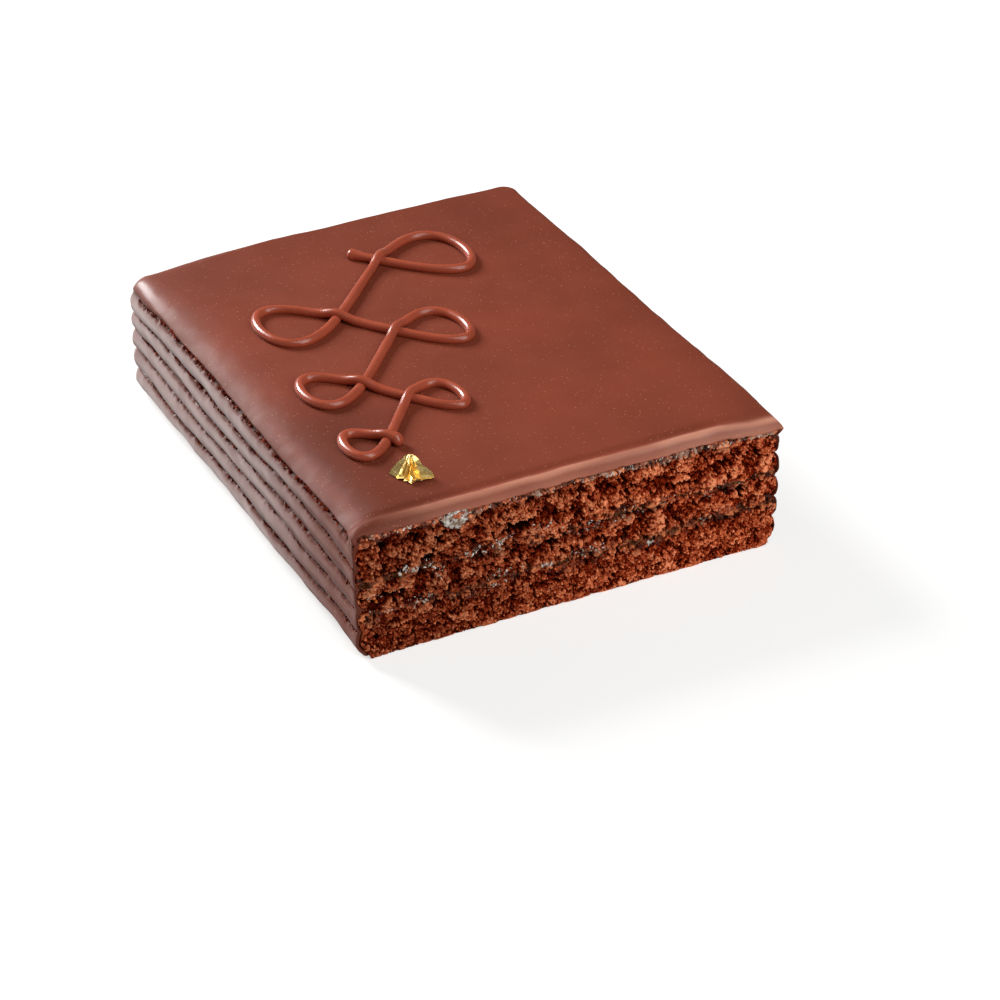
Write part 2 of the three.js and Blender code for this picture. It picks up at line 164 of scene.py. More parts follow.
CUT_EDGE_DEPTH = 0.35
CUT_EDGE_ROUNDS = (0.2, 0.4, 0.6, 0.8)
CUT_FOOT_FILL = 0.7
CUT_FOOT_HEIGHT = 5.0
SAG = 0.7
SAG_RUN = 5.0
SAG_NOTCHES = 0.5
SAG_NOTCH_RUN = 1.4
# Shares of the painted shade on the top: near the front left corner, and at the back and the right
PAINTED_SHADE_SHARE = 0.36
PAINTED_SHADE_AT_EDGE = 0.45
LIP_CELLS = 26
SIDE_CELLS = 204
BACK_CELLS = 127
CORNER_CELLS = 14
CEILING_CELLS = 23
SPECK_SPACING = 1.2
SPECK_RADIUS = (0.08, 0.17)

# Boundaries of the layers from the underside up, and how far each rises and falls along the cut
BOUNDARIES = [(0.0, 0.0), (12.9, 0.55), (14.6, 0.55), (23.4, 0.55), (25.1, 0.55), (37.7, 0.5), (39.2, 0.0)]
CLUMP = 5.0
CRAG_SEED = 7
CRAG_RUN = 6.0
DEEPEST = CRAG_RUN - 0.6

# Torn crumb of the cut face
CRUMB_STEP = 0.15
MAP_STEP = 0.1
TORN = 0.45
TORN_SIZE = 11.0
PIT_FLOOR = 1.7
CLUMP_SPACING = 0.9
CLUMP_RADIUS = (0.36, 1.1)
CLUMP_SUNK = 1.5
WARP = 0.3
WARP_SIZE = 1.7
STRANDS = 0.14
STRAND_SIZE = 0.9
STRAND_PITS = 0.5
GRAIN_SPACING = 0.36
GRAIN_RADIUS = (0.11, 0.32)
PROUD_MIDDLE = 0.40
PROUD_REACHES = (0.32, 1.3, 4.0)
PROUD_WEIGHTS = (0.29, 0.21, 0.10)
FOOT_DEPTH = -0.2
MIDDLE_DEPTH = 0.9
JAM_THINNEST = 0.3
JAM_THICKEST = 1.3
JAM_RAGGED = 0.6
JAM_STREAKS = 0.4
# Painted shade towards the left end of the cut and painted light towards the right, as a change of tint
PAINTED_LIGHT_ACROSS_CUT = 0.38
SKIN_SHOWN_LEFT = (0.3, 1.5)
SKIN_SHOWN_RIGHT = (0.3, 0.9)

# Hollows torn into the cut: place along and up the cut, half width and half height
HOLLOWS = [
    (-60.5, 35.4, 2.2, 0.9), (-41.5, 31.8, 1.6, 1.4), (-17.0, 29.4, 5.2, 1.7), (-6.7, 21.4, 2.0, 1.3),
    (-45.0, 27.5, 2.6, 1.5), (-56.0, 18.8, 4.0, 1.0), (8.5, 18.0, 1.6, 1.0), (3.4, 35.0, 1.6, 0.9),
    (36.0, 29.0, 2.4, 1.0), (20.0, 23.5, 3.0, 0.9), (55.0, 21.0, 1.2, 2.6), (60.0, 31.0, 1.4, 0.8),
]
HOLLOW_DEPTH = 3.4

# Jelly flecks, painted glints of wet jam: place along and up the cut, spread along and up, largest size,
# how many
JELLY_CLUSTERS = [
    (-51.4, 25.3, 1.4, 0.7, 0.75, 16), (-45.3, 26.1, 0.8, 0.8, 0.5, 12), (-42.8, 22.6, 1.1, 0.8, 0.5, 14),
    (-47.3, 14.7, 1.9, 0.7, 0.6, 16), (-31.5, 25.4, 1.9, 0.7, 0.5, 16), (-24.1, 26.2, 1.2, 0.6, 0.55, 10),
    (-19.7, 26.9, 1.6, 0.3, 0.4, 10), (-8.6, 14.7, 1.0, 0.5, 0.65, 10), (-25.4, 12.4, 1.4, 0.6, 0.45, 12),
    (-21.0, 15.8, 2.6, 0.9, 0.4, 24), (5.3, 14.8, 3.5, 1.4, 0.4, 36), (25.4, 11.8, 1.0, 0.6, 0.8, 9),
    (43.9, 13.4, 0.9, 0.5, 0.6, 8), (5.5, 22.9, 3.0, 1.2, 0.35, 22), (-60.4, 20.1, 3.0, 1.2, 0.35, 16),
    (-10.5, 27.2, 2.0, 1.0, 0.4, 12), (-50.9, 39.0, 0.8, 0.4, 0.5, 6), (20.0, 24.0, 6.0, 1.4, 0.35, 26),
    (46.0, 24.0, 5.0, 1.4, 0.35, 20), (-56.0, 14.0, 4.0, 0.8, 0.35, 16),
]
# Flecks along the coat under the glaze, painted glints too: how many, largest size, height
COAT_FLECKS = 220
COAT_FLECK_SIZE = 0.42
COAT_FLECK_LEVEL = 38.6
POCKET = (-36.2, 37.5)
POCKET_HALF = (4.4, 2.9)
POCKET_BITS = 120
GROOVE_CRUMBS_PER_MM = 4.5
GROOVE_CRUMB_SIZE = (0.16, 0.5)
FOOT_CRUMBS = 150
FOOT_CRUMB_SIZE = (0.18, 0.5)

# Bright bits of jam: place along and up the cut, and size
AMBER_BITS = [
    (-62.2, 19.0, 1.1), (-61.2, 17.2, 0.8), (-44.7, 18.3, 1.0), (-43.6, 38.5, 0.5), (-40.6, 34.9, 0.9),
    (-39.3, 34.3, 0.6), (16.8, 12.1, 1.0), (16.0, 13.6, 0.7), (-57.8, 30.5, 0.6), (21.0, 21.0, 0.6),
]

# Piped flourish
PIPE_RADIUS = 1.5
PIPE_SINK = 0.55
PIPE_START = np.array([-2.0, 62.0])
PIPE_END = np.array([-36.0, -50.0])
PIPE_SWINGS = 3
PIPE_EASE = 1.25
PIPE_WIDE = 40.0
PIPE_NARROW = 15.0
PIPE_LOOP_WIDE = 19.0
PIPE_LOOP_NARROW = 9.0
PIPE_SAMPLES = 4000
PIPE_STEP = 0.45
PIPE_SIDES = 18
PIPE_UNEVEN = 0.07
CROSSING_LIFT = 1.5
CROSSING_REACH = 4.5
DROP_SWELL = 0.45
DROP_REACH = 3.0

# Gold leaf
LEAF_PLACE = np.array([-41.0, -65.2])
LEAF_PEAK = np.array([-39.9, -62.8])
LEAF_HEIGHT = 4.7
LEAF_REACH = 3.2
LEAF_TIPS = [(161, 2.4), (252, 1.6), (310, 3.0)]
LEAF_TIP_SPREAD = 24
LEAF_PLEATS = 22
LEAF_PLEAT_DEPTH = 0.16
LEAF_PLEAT_RISE = 0.35
LEAF_RINGS = [0.0, 0.14, 0.3, 0.5, 0.72, 0.88, 1.0]
LEAF_KNOB = 0.2
LEAF_CRUMPLE = 0.28
LEAF_THICKNESS = 0.12


# Numbers

def lerp(low, high, share):
    return low + (high - low) * share


def smooth(low, high, value):
    share = np.clip((value - low) / (high - low), 0, 1)
    return share * share * (3 - 2 * share)


def fade(low, high, value):
    """1 up to the low value, falling to 0 at the high one."""
    return 1 - smooth(low, high, value)


def bell(offset):
    """1 at no offset, fading to 0 on both sides."""
    return np.exp(-offset ** 2)


def lengths(arrows):
    return np.linalg.norm(arrows, axis=-1, keepdims=True)


def points(*parts):
    """Rows of numbers side by side, each part an array or one number for all."""
    return np.stack(np.broadcast_arrays(*parts), axis=-1)


def lattice(column, row, seed):
    """Seeded values between 0 and 1 at whole-number places."""
    mixed = (column * 374761393 + row * 668265263 + seed * 1274126177) & 0xFFFFFFFF
    mixed = ((mixed ^ (mixed >> 13)) * 1274126177) & 0xFFFFFFFF
    return (mixed ^ (mixed >> 16)) / 0xFFFFFFFF


def noise(x, y, seed):
    """Smooth seeded noise between 0 and 1."""
    x, y = np.broadcast_arrays(np.asarray(x, float), np.asarray(y, float))
    column = np.floor(x).astype(np.int64)
    row = np.floor(y).astype(np.int64)
    across = smooth(0, 1, x - column)
    up = smooth(0, 1, y - row)
    below = lerp(lattice(column, row, seed), lattice(column + 1, row, seed), across)
    above = lerp(lattice(column, row + 1, seed), lattice(column + 1, row + 1, seed), across)
    return lerp(below, above, up)


def swell(x, y, seed, octaves=3):
    """Several sizes of noise together, between -1 and 1."""
    total = 0
    for octave in range(octaves):
        size = 2 ** octave
        total = total + (noise(x * size, y * size, seed + octave) - 0.5) / size
    return total * 2 / (2 - 0.5 ** (octaves - 1))


# Meshes

class Sheet:
    """Points and faces gathered block by block."""

    def __init__(self):
        self.blocks = []
        self.faces = []
        self.count = 0

    def rows(self, places):
        places = np.asarray(places, float)
        index = np.arange(self.count, self.count + places[..., 0].size).reshape(places.shape[:-1])
        self.blocks.append(places.reshape(-1, 3))
        self.count += index.size
        return index

    def grid(self, index):
        corners = [index[:-1, :-1], index[:-1, 1:], index[1:, 1:], index[1:, :-1]]
        self.faces += np.stack(corners, axis=-1).reshape(-1, 4).tolist()

    def strip(self, first, second):
        self.grid(np.stack([first, second]))

    def zip(self, first, second):
        """Triangles between rows with different numbers of points."""
        i = 0
        j = 0
        while i + 1 < len(first) or j + 1 < len(second):
            ahead = (i + 1) * (len(second) - 1) <= (j + 1) * (len(first) - 1)
            if j + 1 == len(second) or (i + 1 < len(first) and ahead):
                self.faces.append([int(first[i]), int(first[i + 1]), int(second[j])])
                i += 1
            else:
                self.faces.append([int(first[i]), int(second[j + 1]), int(second[j])])
                j += 1

    def fan(self, ring, tip):
        self.faces += points(ring, np.roll(ring, -1), self.rows([tip])[0]).tolist()

    def places(self):
        return np.concatenate(self.blocks)


def closed(index):
    """A block of rows whose last column meets its first."""
    return np.concatenate([index, index[..., :1]], axis=-1)


def add_object(name, data):
    added = bpy.data.objects.new(name, data)
    bpy.context.collection.objects.link(added)
    return added


def make_piece(name, sheet, finish, replaced=(), marks=None, even=True):
    mesh = bpy.data.meshes.new(name)
    mesh.from_pydata((sheet.places() * MM).tolist(), [], sheet.faces)
    shape = bmesh.new()
    shape.from_mesh(mesh)
    bmesh.ops.recalc_face_normals(shape, faces=shape.faces)
    shape.to_mesh(mesh)
    shape.free()
    mesh.polygons.foreach_set("use_smooth", [even] * len(mesh.polygons))
    for mark, values in (marks or {}).items():
        attribute = mesh.attributes.new(mark, "FLOAT", "POINT")
        attribute.data.foreach_set("value", np.asarray(values, np.float32))
    mesh.materials.append(finish)
    piece = add_object(name, mesh)
    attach(piece, "root")
    if replaced:
        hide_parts(*replaced)


# Materials

class Finish:
    """A material and short ways to add its nodes."""

    def __init__(self, name):
        self.material = bpy.data.materials.new(name)
        self.material.use_nodes = True
        self.tree = self.material.node_tree
        self.shader = self.tree.nodes["Principled BSDF"]

    def node(self, kind, **settings):
        made = self.tree.nodes.new(kind)
        for setting, value in settings.items():
            setattr(made, setting, value)
        return made

    def link(self, source, target):
        self.tree.links.new(source, target)

    def set(self, **values):
        for socket, value in values.items():
            self.shader.inputs[socket.replace("_", " ")].default_value = value

    def place(self):
        return self.node("ShaderNodeTexCoord").outputs["Object"]

    def noise(self, size, detail=3.0):
        texture = self.node("ShaderNodeTexNoise")
        for socket, value in (("Scale", 1 / (size * MM)), ("Detail", detail), ("Roughness", 0.55)):
            texture.inputs[socket].default_value = value
        self.link(self.place(), texture.inputs["Vector"])
        return texture.outputs["Fac"]

    def mark(self, name):
        return self.node("ShaderNodeAttribute", attribute_name=name).outputs["Fac"]

    def ramp(self, source, *stops):
        ramp = self.node("ShaderNodeValToRGB")
        elements = ramp.color_ramp.elements
        while len(elements) < len(stops):
            elements.new(0.5)
        for element, (position, colour) in zip(elements, stops):
            element.position = position
            element.color = (*colour, 1)
        self.link(source, ramp.inputs["Fac"])
        return ramp.outputs["Color"]

    def span(self, source, low, high, to_low, to_high):
        """The source from low to high, moved to another span and held at its ends."""
        mapped = self.node("ShaderNodeMapRange")
        for socket, value in zip(mapped.inputs[1:5], (low, high, to_low, to_high)):
            socket.default_value = value
        self.link(source, mapped.inputs[0])
        return mapped.outputs[0]

    def feed(self, socket, value):
        """Links a socket to a source, or sets it to a number or a colour."""
        if isinstance(value, bpy.types.NodeSocket):
            self.link(value, socket)
        else:
            socket.default_value = (*value, 1) if isinstance(value, tuple) else value

    def mix(self, share, first, second, blend="MIX"):
        mixed = self.node("ShaderNodeMix", data_type="RGBA", blend_type=blend)
        for number, value in ((0, share), (6, first), (7, second)):
            self.feed(mixed.inputs[number], value)
        return mixed.outputs[2]

    def math(self, operation, first, second):
        made = self.node("ShaderNodeMath", operation=operation)
        self.feed(made.inputs[0], first)
        self.feed(made.inputs[1], second)
        return made.outputs[0]

    def paint(self, socket, source):
        self.link(source, self.shader.inputs[socket])

    def roughen(self, size, detail, low, high):
        self.paint("Roughness", self.span(self.noise(size, detail), 0.3, 0.7, low, high))

    def bump(self, size, depth, strength, detail=3.0):
        bump = self.node("ShaderNodeBump")
        bump.inputs["Strength"].default_value = strength
        bump.inputs["Distance"].default_value = depth * MM
        self.link(self.noise(size, detail), bump.inputs["Height"])
        self.paint("Normal", bump.outputs["Normal"])


def clouded(name, cloud, stops, bump, rough=None, **values):
    """A finish coloured by noise, given by its size and detail, with a fine bump."""
    finish = Finish(name)
    finish.paint("Base Color", finish.ramp(finish.noise(*cloud), *stops))
    finish.bump(*bump)
    if rough:
        finish.roughen(*rough)
    finish.set(**values)
    return finish.material


def sponge_finish():
    """Chocolate crumb: painted light where proud, painted shade in the pores, dark and wet beside the jam.
    """
    finish = Finish("sponge")
    # Painted light and shade: near black in the pores, bright on proud walls
    crumb = finish.ramp(
        finish.mark("proud_shade"),
        (0.0, (0.010, 0.0003, 0.0001)),
        (0.40, (0.150, 0.0105, 0.0011)),
        (0.75, (0.430, 0.090, 0.032)),
        (1.0, (0.640, 0.215, 0.098)),
    )
    # Random tone of the grains, with the painted light and shade across the cut
    shade = finish.span(finish.mark("tint"), -0.2, 1.2, 0.5, 1.5)
    varied = finish.mix(1.0, crumb, shade, "MULTIPLY")
    soaked = finish.mix(finish.math("MULTIPLY", finish.mark("soak"), 0.6), varied, (0.045, 0.015, 0.005))
    finish.paint("Base Color", soaked)
    finish.paint("Roughness", finish.span(finish.mark("soak"), 0.1, 0.8, 0.7, 0.25))
    finish.paint("Coat Weight", finish.span(finish.mark("soak"), 0.1, 0.8, 0, 0.35))
    finish.bump(0.35, 0.12, 0.7)
    finish.set(Specular_IOR_Level=0.02, Coat_Roughness=0.15)
    return finish.material


def jam_finish():
    """Apricot jam soaked into crumb: brown and wet, nearly black with some amber where it lies in pools."""
    finish = Finish("jam")
    # Painted light and shade on the soaked crumb, by how proud it stands
    crumb = finish.ramp(
        finish.mark("proud_shade"),
        (0.0, (0.010, 0.003, 0.001)),
        (0.5, (0.170, 0.032, 0.009)),
        (1.0, (0.600, 0.170, 0.060)),
    )
    pool = finish.ramp(
        finish.noise(2.2),
        (0.35, (0.050, 0.013, 0.004)),
        (0.60, (0.115, 0.030, 0.008)),
        (0.75, (0.290, 0.075, 0.015)),
    )
    finish.paint("Base Color", finish.mix(finish.mark("pooled"), crumb, pool))
    finish.bump(0.6, 0.25, 0.8)
    finish.set(Roughness=0.3, Specular_IOR_Level=0.12)
    return finish.material


def coat_finish():
    """Jam drawn through crumb under the glaze: brown, wet and streaked."""
    finish = Finish("coat")
    # Painted light and shade on the crumb, by how proud it stands
    body = finish.ramp(
        finish.mark("proud_shade"),
        (0.0, (0.016, 0.005, 0.002)),
        (0.40, (0.160, 0.030, 0.010)),
        (0.75, (0.430, 0.095, 0.034)),
        (1.0, (0.760, 0.270, 0.115)),
    )
    # Pale jam film, its paleness a painted sheen
    finish.paint("Base Color", finish.mix(finish.mark("painted_film_sheen"), body, (0.430, 0.240, 0.165)))
    finish.bump(0.5, 0.2, 0.8)
    finish.set(Roughness=0.3, Specular_IOR_Level=0.25)
    return finish.material


def jelly_glint_finish():
    """Bits of clear set jelly: pale grey with a warm edge, which on the flecks is a painted glint of wet
    jam.
    """
    stops = (0.36, (0.200, 0.095, 0.045)), (0.48, (0.350, 0.300, 0.250)), (0.68, (0.760, 0.730, 0.680))
    return clouded("jelly_and_glints", (1.6,), stops, (0.5, 0.25, 0.8), Roughness=0.14)


def amber_finish():
    """Clear apricot jam, orange with a red depth."""
    stops = (0.35, (0.180, 0.022, 0.004)), (0.65, (0.620, 0.140, 0.012))
    return clouded("amber", (1.1,), stops, (0.5, 0.15, 0.8), Roughness=0.12, Specular_IOR_Level=0.5)


def glaze_finish():
    """Satin chocolate glaze with faint clouding, a few specks, and bare crumb where the skin is broken."""
    finish = Finish("glaze")
    cloud = finish.ramp(
        finish.noise(34, 4.0),
        (0.35, (0.194, 0.0394, 0.0194)),
        (0.65, (0.236, 0.0475, 0.0234)),
    )
    # Painted shade over the top towards the front left corner, the back and the right, and on the lip at
    # the left
    deep = finish.span(finish.mark("deep"), 0, 1, 0, PAINTED_SHADE_SHARE)
    falloff_shaded = finish.mix(deep, cloud, (0.010, 0.0020, 0.0010))
    # Painted grey sheen on the walls and the lower slope
    painted_sheen = finish.mix(finish.mark("side"), falloff_shaded, (0.175, 0.050, 0.034))
    # Painted shade under each rib and under the rim
    shaded = finish.mix(finish.span(finish.mark("under"), 0, 1, 0, 0.88), painted_sheen, (0.040, 0.015, 0.010))
    cut = finish.mix(finish.mark("raw"), shaded, (0.105, 0.019, 0.008))
    # Paler dragged glaze along the lip, with a painted highlight on its crest
    dragged_and_highlight = finish.mix(finish.mark("edge"), cut, (0.620, 0.262, 0.172))
    cells = finish.node("ShaderNodeTexVoronoi")
    cells.inputs["Scale"].default_value = 1 / (SPECK_SPACING * MM)
    finish.link(finish.place(), cells.inputs["Vector"])
    near = finish.span(cells.outputs["Distance"], *SPECK_RADIUS, 1, 0)
    drawn = finish.node("ShaderNodeSeparateColor")
    finish.link(cells.outputs["Color"], drawn.inputs[0])
    chosen = finish.span(drawn.outputs[0], 0.2, 1.0, 0, 0.9)
    speckled = finish.mix(finish.math("MULTIPLY", near, chosen), dragged_and_highlight, (0.54, 0.24, 0.12))
    bare = finish.mix(finish.mark("bare"), speckled, (0.030, 0.010, 0.006))
    finish.paint("Base Color", bare)
    finish.roughen(9, 4.0, 0.50, 0.60)
    finish.bump(1.6, 0.05, 0.4, 4.0)
    matt = finish.math("MAXIMUM", finish.mark("under"), finish.mark("raw"))
    matt = finish.math("MAXIMUM", matt, finish.span(finish.mark("bare"), 0, 0.3, 0, 1))
    glossy = finish.math("SUBTRACT", finish.mark("wall"), matt)
    finish.paint("Coat Weight", finish.span(glossy, 0, 1, 0, 1))
    finish.set(Specular_IOR_Level=0.14, Coat_Roughness=0.28, Coat_IOR=1.77)
    return finish.material


def piping_finish():
    """Piped milk-brown chocolate, smoother and redder than the glaze."""
    stops = (0.35, (0.345, 0.064, 0.029)), (0.65, (0.410, 0.077, 0.036))
    rough = (5, 3.0, 0.22, 0.32)
    return clouded("piping", (12,), stops, (6, 0.04, 0.3, 2.0), rough, Specular_IOR_Level=0.6)


def gold_finish():
    """Crumpled gold leaf."""
    stops = (0.35, (0.95, 0.65, 0.18)), (0.65, (1.00, 0.77, 0.33))
    rough = (1.2, 4.0, 0.20, 0.36)
    tint = (1.0, 0.80, 0.45, 1)
    return clouded("gold", (3.0, 4.0), stops, (0.8, 0.03, 0.5), rough, Metallic=0.78, Specular_Tint=tint)


def floor_finish():
    finish = Finish("floor")
    stops = (0.3, (0.46, 0.46, 0.45)), (0.7, (0.48, 0.48, 0.47))
    finish.paint("Base Color", finish.ramp(finish.noise(300), *stops))
    finish.set(Roughness=0.6, Emission_Color=(1, 1, 0.99, 1), Emission_Strength=0.6)
    return finish.material


# Stage

def aim(name, data, place, direction):
    """Puts a camera or a light at a place, in metres, so that it looks in a direction."""
    aimed = add_object(name, data)
    aimed.location = place
    aimed.rotation_mode = "QUATERNION"
    aimed.rotation_quaternion = Vector(direction).to_track_quat("-Z", "Y")
    return aimed


def make_stage():
    back = np.array([
        math.sin(VIEW_AZIMUTH) * math.cos(VIEW_ELEVATION),
        -math.cos(VIEW_AZIMUTH) * math.cos(VIEW_ELEVATION),
        math.sin(VIEW_ELEVATION),
    ])
    right = np.array([math.cos(VIEW_AZIMUTH), math.sin(VIEW_AZIMUTH), 0])
    up = np.cross(back, right)
    middle = np.array([0, 0, CAKE_HEIGHT / 2])
    eye = middle + VIEW_DISTANCE * back + VIEW_RIGHT * right + VIEW_UP * up
    data = bpy.data.cameras.new("camera")
    data.sensor_width = SENSOR
    data.lens = LENS
    bpy.context.scene.camera = aim("camera", data, eye * MM, -back)

    reach = FLOOR_REACH_M
    mesh = bpy.data.meshes.new("floor")
    corners = [(-reach, -reach, 0), (reach, -reach, 0), (reach, reach, 0), (-reach, reach, 0)]
    mesh.from_pydata(corners, [], [(0, 1, 2, 3)])
    mesh.materials.append(floor_finish())
    floor = add_object("floor", mesh)


def make_softbox(name, place, side, power):
    """A square soft light, given in metres and watts, that looks at the cake."""
    data = bpy.data.lights.new(name, "AREA")
    data.shape = "SQUARE"
    data.size = side
    data.energy = power
    aim(name, data, place, -Vector(place))


def make_light():
    for light in SOFTBOXES:
        make_softbox(*light)
    world = bpy.data.worlds.new("studio")
    world.use_nodes = True
    sockets = world.node_tree.nodes["Background"].inputs
    sockets["Color"].default_value = STUDIO_COLOUR
    sockets["Strength"].default_value = STUDIO_STRENGTH
    bpy.context.scene.world = world
    bpy.context.scene.view_settings.view_transform = "Standard"


# Ribbed wall

Column = namedtuple("Column", "side along turn")


def rib_inset(height, depth=RIB_DEPTH):
    """How far the wall stands in from the crests of the ribs."""
    height = np.asarray(height, float)
    share = np.mod((height - TOP_GROOVE) / RIB_PITCH, 1) ** RIB_LEAN
    wave = 1 - np.sin(np.pi * share) ** RIB_ROUNDNESS
    rib = np.where(height < TOP_GROOVE + RIB_PITCH / 2, wave, 0)
    foot = np.clip((FOOT_HEIGHT - height) / FOOT_HEIGHT, 0, 1)
    above = np.clip(height - (CAKE_HEIGHT - RIM_HEIGHT), 0, RIM_HEIGHT)
    return depth * rib * (1 - above / RIM_HEIGHT) + FOOT_INSET * foot ** 2


def past_cut(column, at_cut):
    """Share of a form that runs out towards the left end of the cut, where so much of it is left."""
    return lerp(at_cut, 1, smooth(0, RIB_FADE, column.along - FRONT))


def rib_depth(column):
    """Depth of the ribs, which run out towards the left end of the cut."""
    if column.side >= 0 or column.turn is not None:
        return RIB_DEPTH
    return RIB_DEPTH * past_cut(column, RIB_AT_CUT)


def straight(side, along):
    """An upright line on the right (1), back (0) or left (-1) of the wall, so far along that side."""
    return Column(side, along, None)


def corner(side, turn):
    return Column(side, BACK * side, turn)


def wall_points(column, inset, height):
    """Points of the wall on one upright line, each so far in from the crests."""
    side = column.side
    wave = WALL_WAVE * (1 + np.sin(column.along / WALL_WAVE_RUN + height / WALL_WAVE_CLIMB + side))
    depth = inset + (WALL_WAVE if column.turn is not None else wave)
    if side == 0:
        return points(column.along, BACK - depth, height)
    if column.turn is None:
        return points(side * (HALF_WIDTH - depth), column.along, height)
    radius = np.maximum(CORNER_RADIUS - CORNER_SHARPENING * depth, LEAST_CORNER_RADIUS)
    x = side * (HALF_WIDTH - depth - radius * (1 - math.cos(column.turn)))
    y = BACK - depth - radius * (1 - math.sin(column.turn))
    return points(x, y, height)


def wall_columns(alongs, corner_cells, acrosses):
    """Upright lines from the cut up the right side, round the back and down the left side to the cut."""
    turns = [0.5 * math.pi * cell / corner_cells for cell in range(corner_cells + 1)]
    right = [straight(1, along) for along in alongs] + [corner(1, turn) for turn in turns]
    left = [corner(-1, turn) for turn in reversed(turns)]
    left += [straight(-1, along) for along in reversed(alongs)]
    return right + [straight(0, across) for across in acrosses] + left


def wander(column, height):
    """How far the grooves stray up and down along the wall."""
    within = smooth(0, 5, height) * fade(CAKE_HEIGHT - 5, CAKE_HEIGHT, height)
    stray = GROOVE_WANDER * within * patches(column, height, GROOVE_WANDER_SIZE, 40, 51, 2)
    dipped = smooth(*GROOVE_DIP_BELOW, height) * fade(*GROOVE_DIP_ABOVE, height)
    return stray - GROOVE_DIP * far_left(column) * dipped


def far_left(column):
    """1 round the far left corner, fading to 0 along the two sides that meet there."""
    if column.side == 0:
        return smooth(-38, -58, column.along)
    if column.side > 0:
        return 0
    return 1 if column.turn is not None else smooth(BACK - 30, SIDE_END, column.along)


def patches(column, up, size, lane, seed, octaves):
    """Noise along one side of the wall and up it, in patches of so long and so high."""
    return swell(column.along / size[0] + lane * column.side, up / size[1], seed, octaves)


def unevenness(column, height):
    broad = WALL_UNEVEN * patches(column, height, WALL_UNEVEN_SIZE, 90, 61, 3)
    return broad + WALL_DENTS * patches(column, height, WALL_DENT_SIZE, 90, 64, 2)


def slope_unevenness(column, inset):
    """Rise and fall of the broad slope, with short wrinkles beside the top groove."""
    broad = SLOPE_UNEVEN * patches(column, inset, SLOPE_UNEVEN_SIZE, 70, 65, 3)
    broad = broad * fade(5, SLOPE_REACH, inset)
    wrinkles = SLOPE_WRINKLES * patches(column, inset, SLOPE_WRINKLE_SIZE, 70, 68, 2)
    wrinkles = wrinkles * fade(0.5, 5, inset)
    ends = fade(BACK - 20, SIDE_END, column.along)
    return slope_share(column) * (ends if column.turn is None else 0) * (broad + wrinkles)


def skin_points(column, level):
    """Points of the glaze's outside below the rim, before the rim's own curve."""
    level = np.asarray(level, float)
    inset = np.maximum(rib_inset(level, rib_depth(column)) + unevenness(column, level), -0.1)
    return wall_points(column, inset, level + wander(column, level))


def slope_share(column):
    """1 where the rim is the broad slope of the left side, 0 where it is a tight round."""
    if column.side > 0:
        return 0
    if column.side == 0:
        return BACK_SLOPE * np.clip((-18 - column.along) / 40, 0, 1)
    if column.turn is not None:
        return BACK_SLOPE
    towards_cut = past_cut(column, SLOPE_AT_CUT)
    return towards_cut * lerp(1, BACK_SLOPE, smooth(BACK - 36, SIDE_END, column.along))


def rim_profile(column):
    """Insets and heights from the top groove over the rim to the flat top."""
    reach = SLOPE_REACH * np.linspace(0, 1, RIM_CELLS + 1) ** 1.5
    fall = RIM_HEIGHT * (np.exp(-reach / SLOPE_RUN) - SLOPE_LEAST) / (1 - SLOPE_LEAST)
    slope = np.stack([reach, CAKE_HEIGHT - fall])
    turns = np.linspace(math.pi / 2, 0, RIM_CELLS)
    tight = np.stack([ROUND_RADIUS * (1 - np.sin(turns)), CAKE_HEIGHT - ROUND_RADIUS * (1 - np.cos(turns))])
    tight = np.concatenate([[[0], [CAKE_HEIGHT - RIM_HEIGHT]], tight], axis=1)
    return lerp(tight, slope, slope_share(column))


def rim_inset(column, height):
    """How far the wall stands in from the crests, with the slope of its rim."""
    fallen = np.clip((CAKE_HEIGHT - height) / RIM_HEIGHT, 0, 1)
    reach = -SLOPE_RUN * np.log(SLOPE_LEAST + (1 - SLOPE_LEAST) * fallen)
    share = slope_share(column) * smooth(TOP_GROOVE - 0.5, TOP_GROOVE + 0.5, height)
    return lerp(rib_inset(height), RIB_DEPTH + reach, share)


def lip_drop(x, behind):
    """How far the top lies under its full height behind the cut, in a wave that fades at the right end."""
    trough = LIP_TROUGH * bell((behind - LIP_TROUGH_BEHIND) / LIP_TROUGH_RUN)
    crest = LIP_CREST * bell((behind - LIP_CREST_BEHIND) / LIP_CREST_RUN)
    wave = lerp(1, LIP_WAVE_AT_END, smooth(*LIP_WAVE_END, x))
    return LIP_DROP * np.exp(-behind / LIP_RUN) + (trough - crest) * wave


def lip_setback(x):
    """How far the glaze's edge lies behind the cut: most at the left, and out over it at the right."""
    left = LIP_SETBACK_LEFT * smooth(*LIP_LEFT_END, x)
    right = LIP_SETBACK_RIGHT * smooth(*LIP_RIGHT_END, x)
    return LIP_SETBACK + left + right + LIP_WANDER * swell(x / LIP_WANDER_RUN, 0, 73, 3)


def edge_setback(x, z):
    """How far the glaze's edge lies behind the cut at any height, from the wall up to the lip."""
    return lerp(WALL_SETBACK, lip_setback(x), smooth(*WALL_TO_LIP, z))


def set_back(places):
    """Moves points near the cut back by the setback of the glaze's edge there, less and less behind it."""
    x, y, z = np.moveaxis(places, -1, 0)
    places[..., 1] += edge_setback(x, z) * fade(0, LIP_REACH, y - FRONT)
    return places


def far_corner(x, y, reach):
    """1 at the far left corner, fading over about so far around it."""
    return bell(np.hypot(x + HALF_WIDTH, y - BACK) / reach)


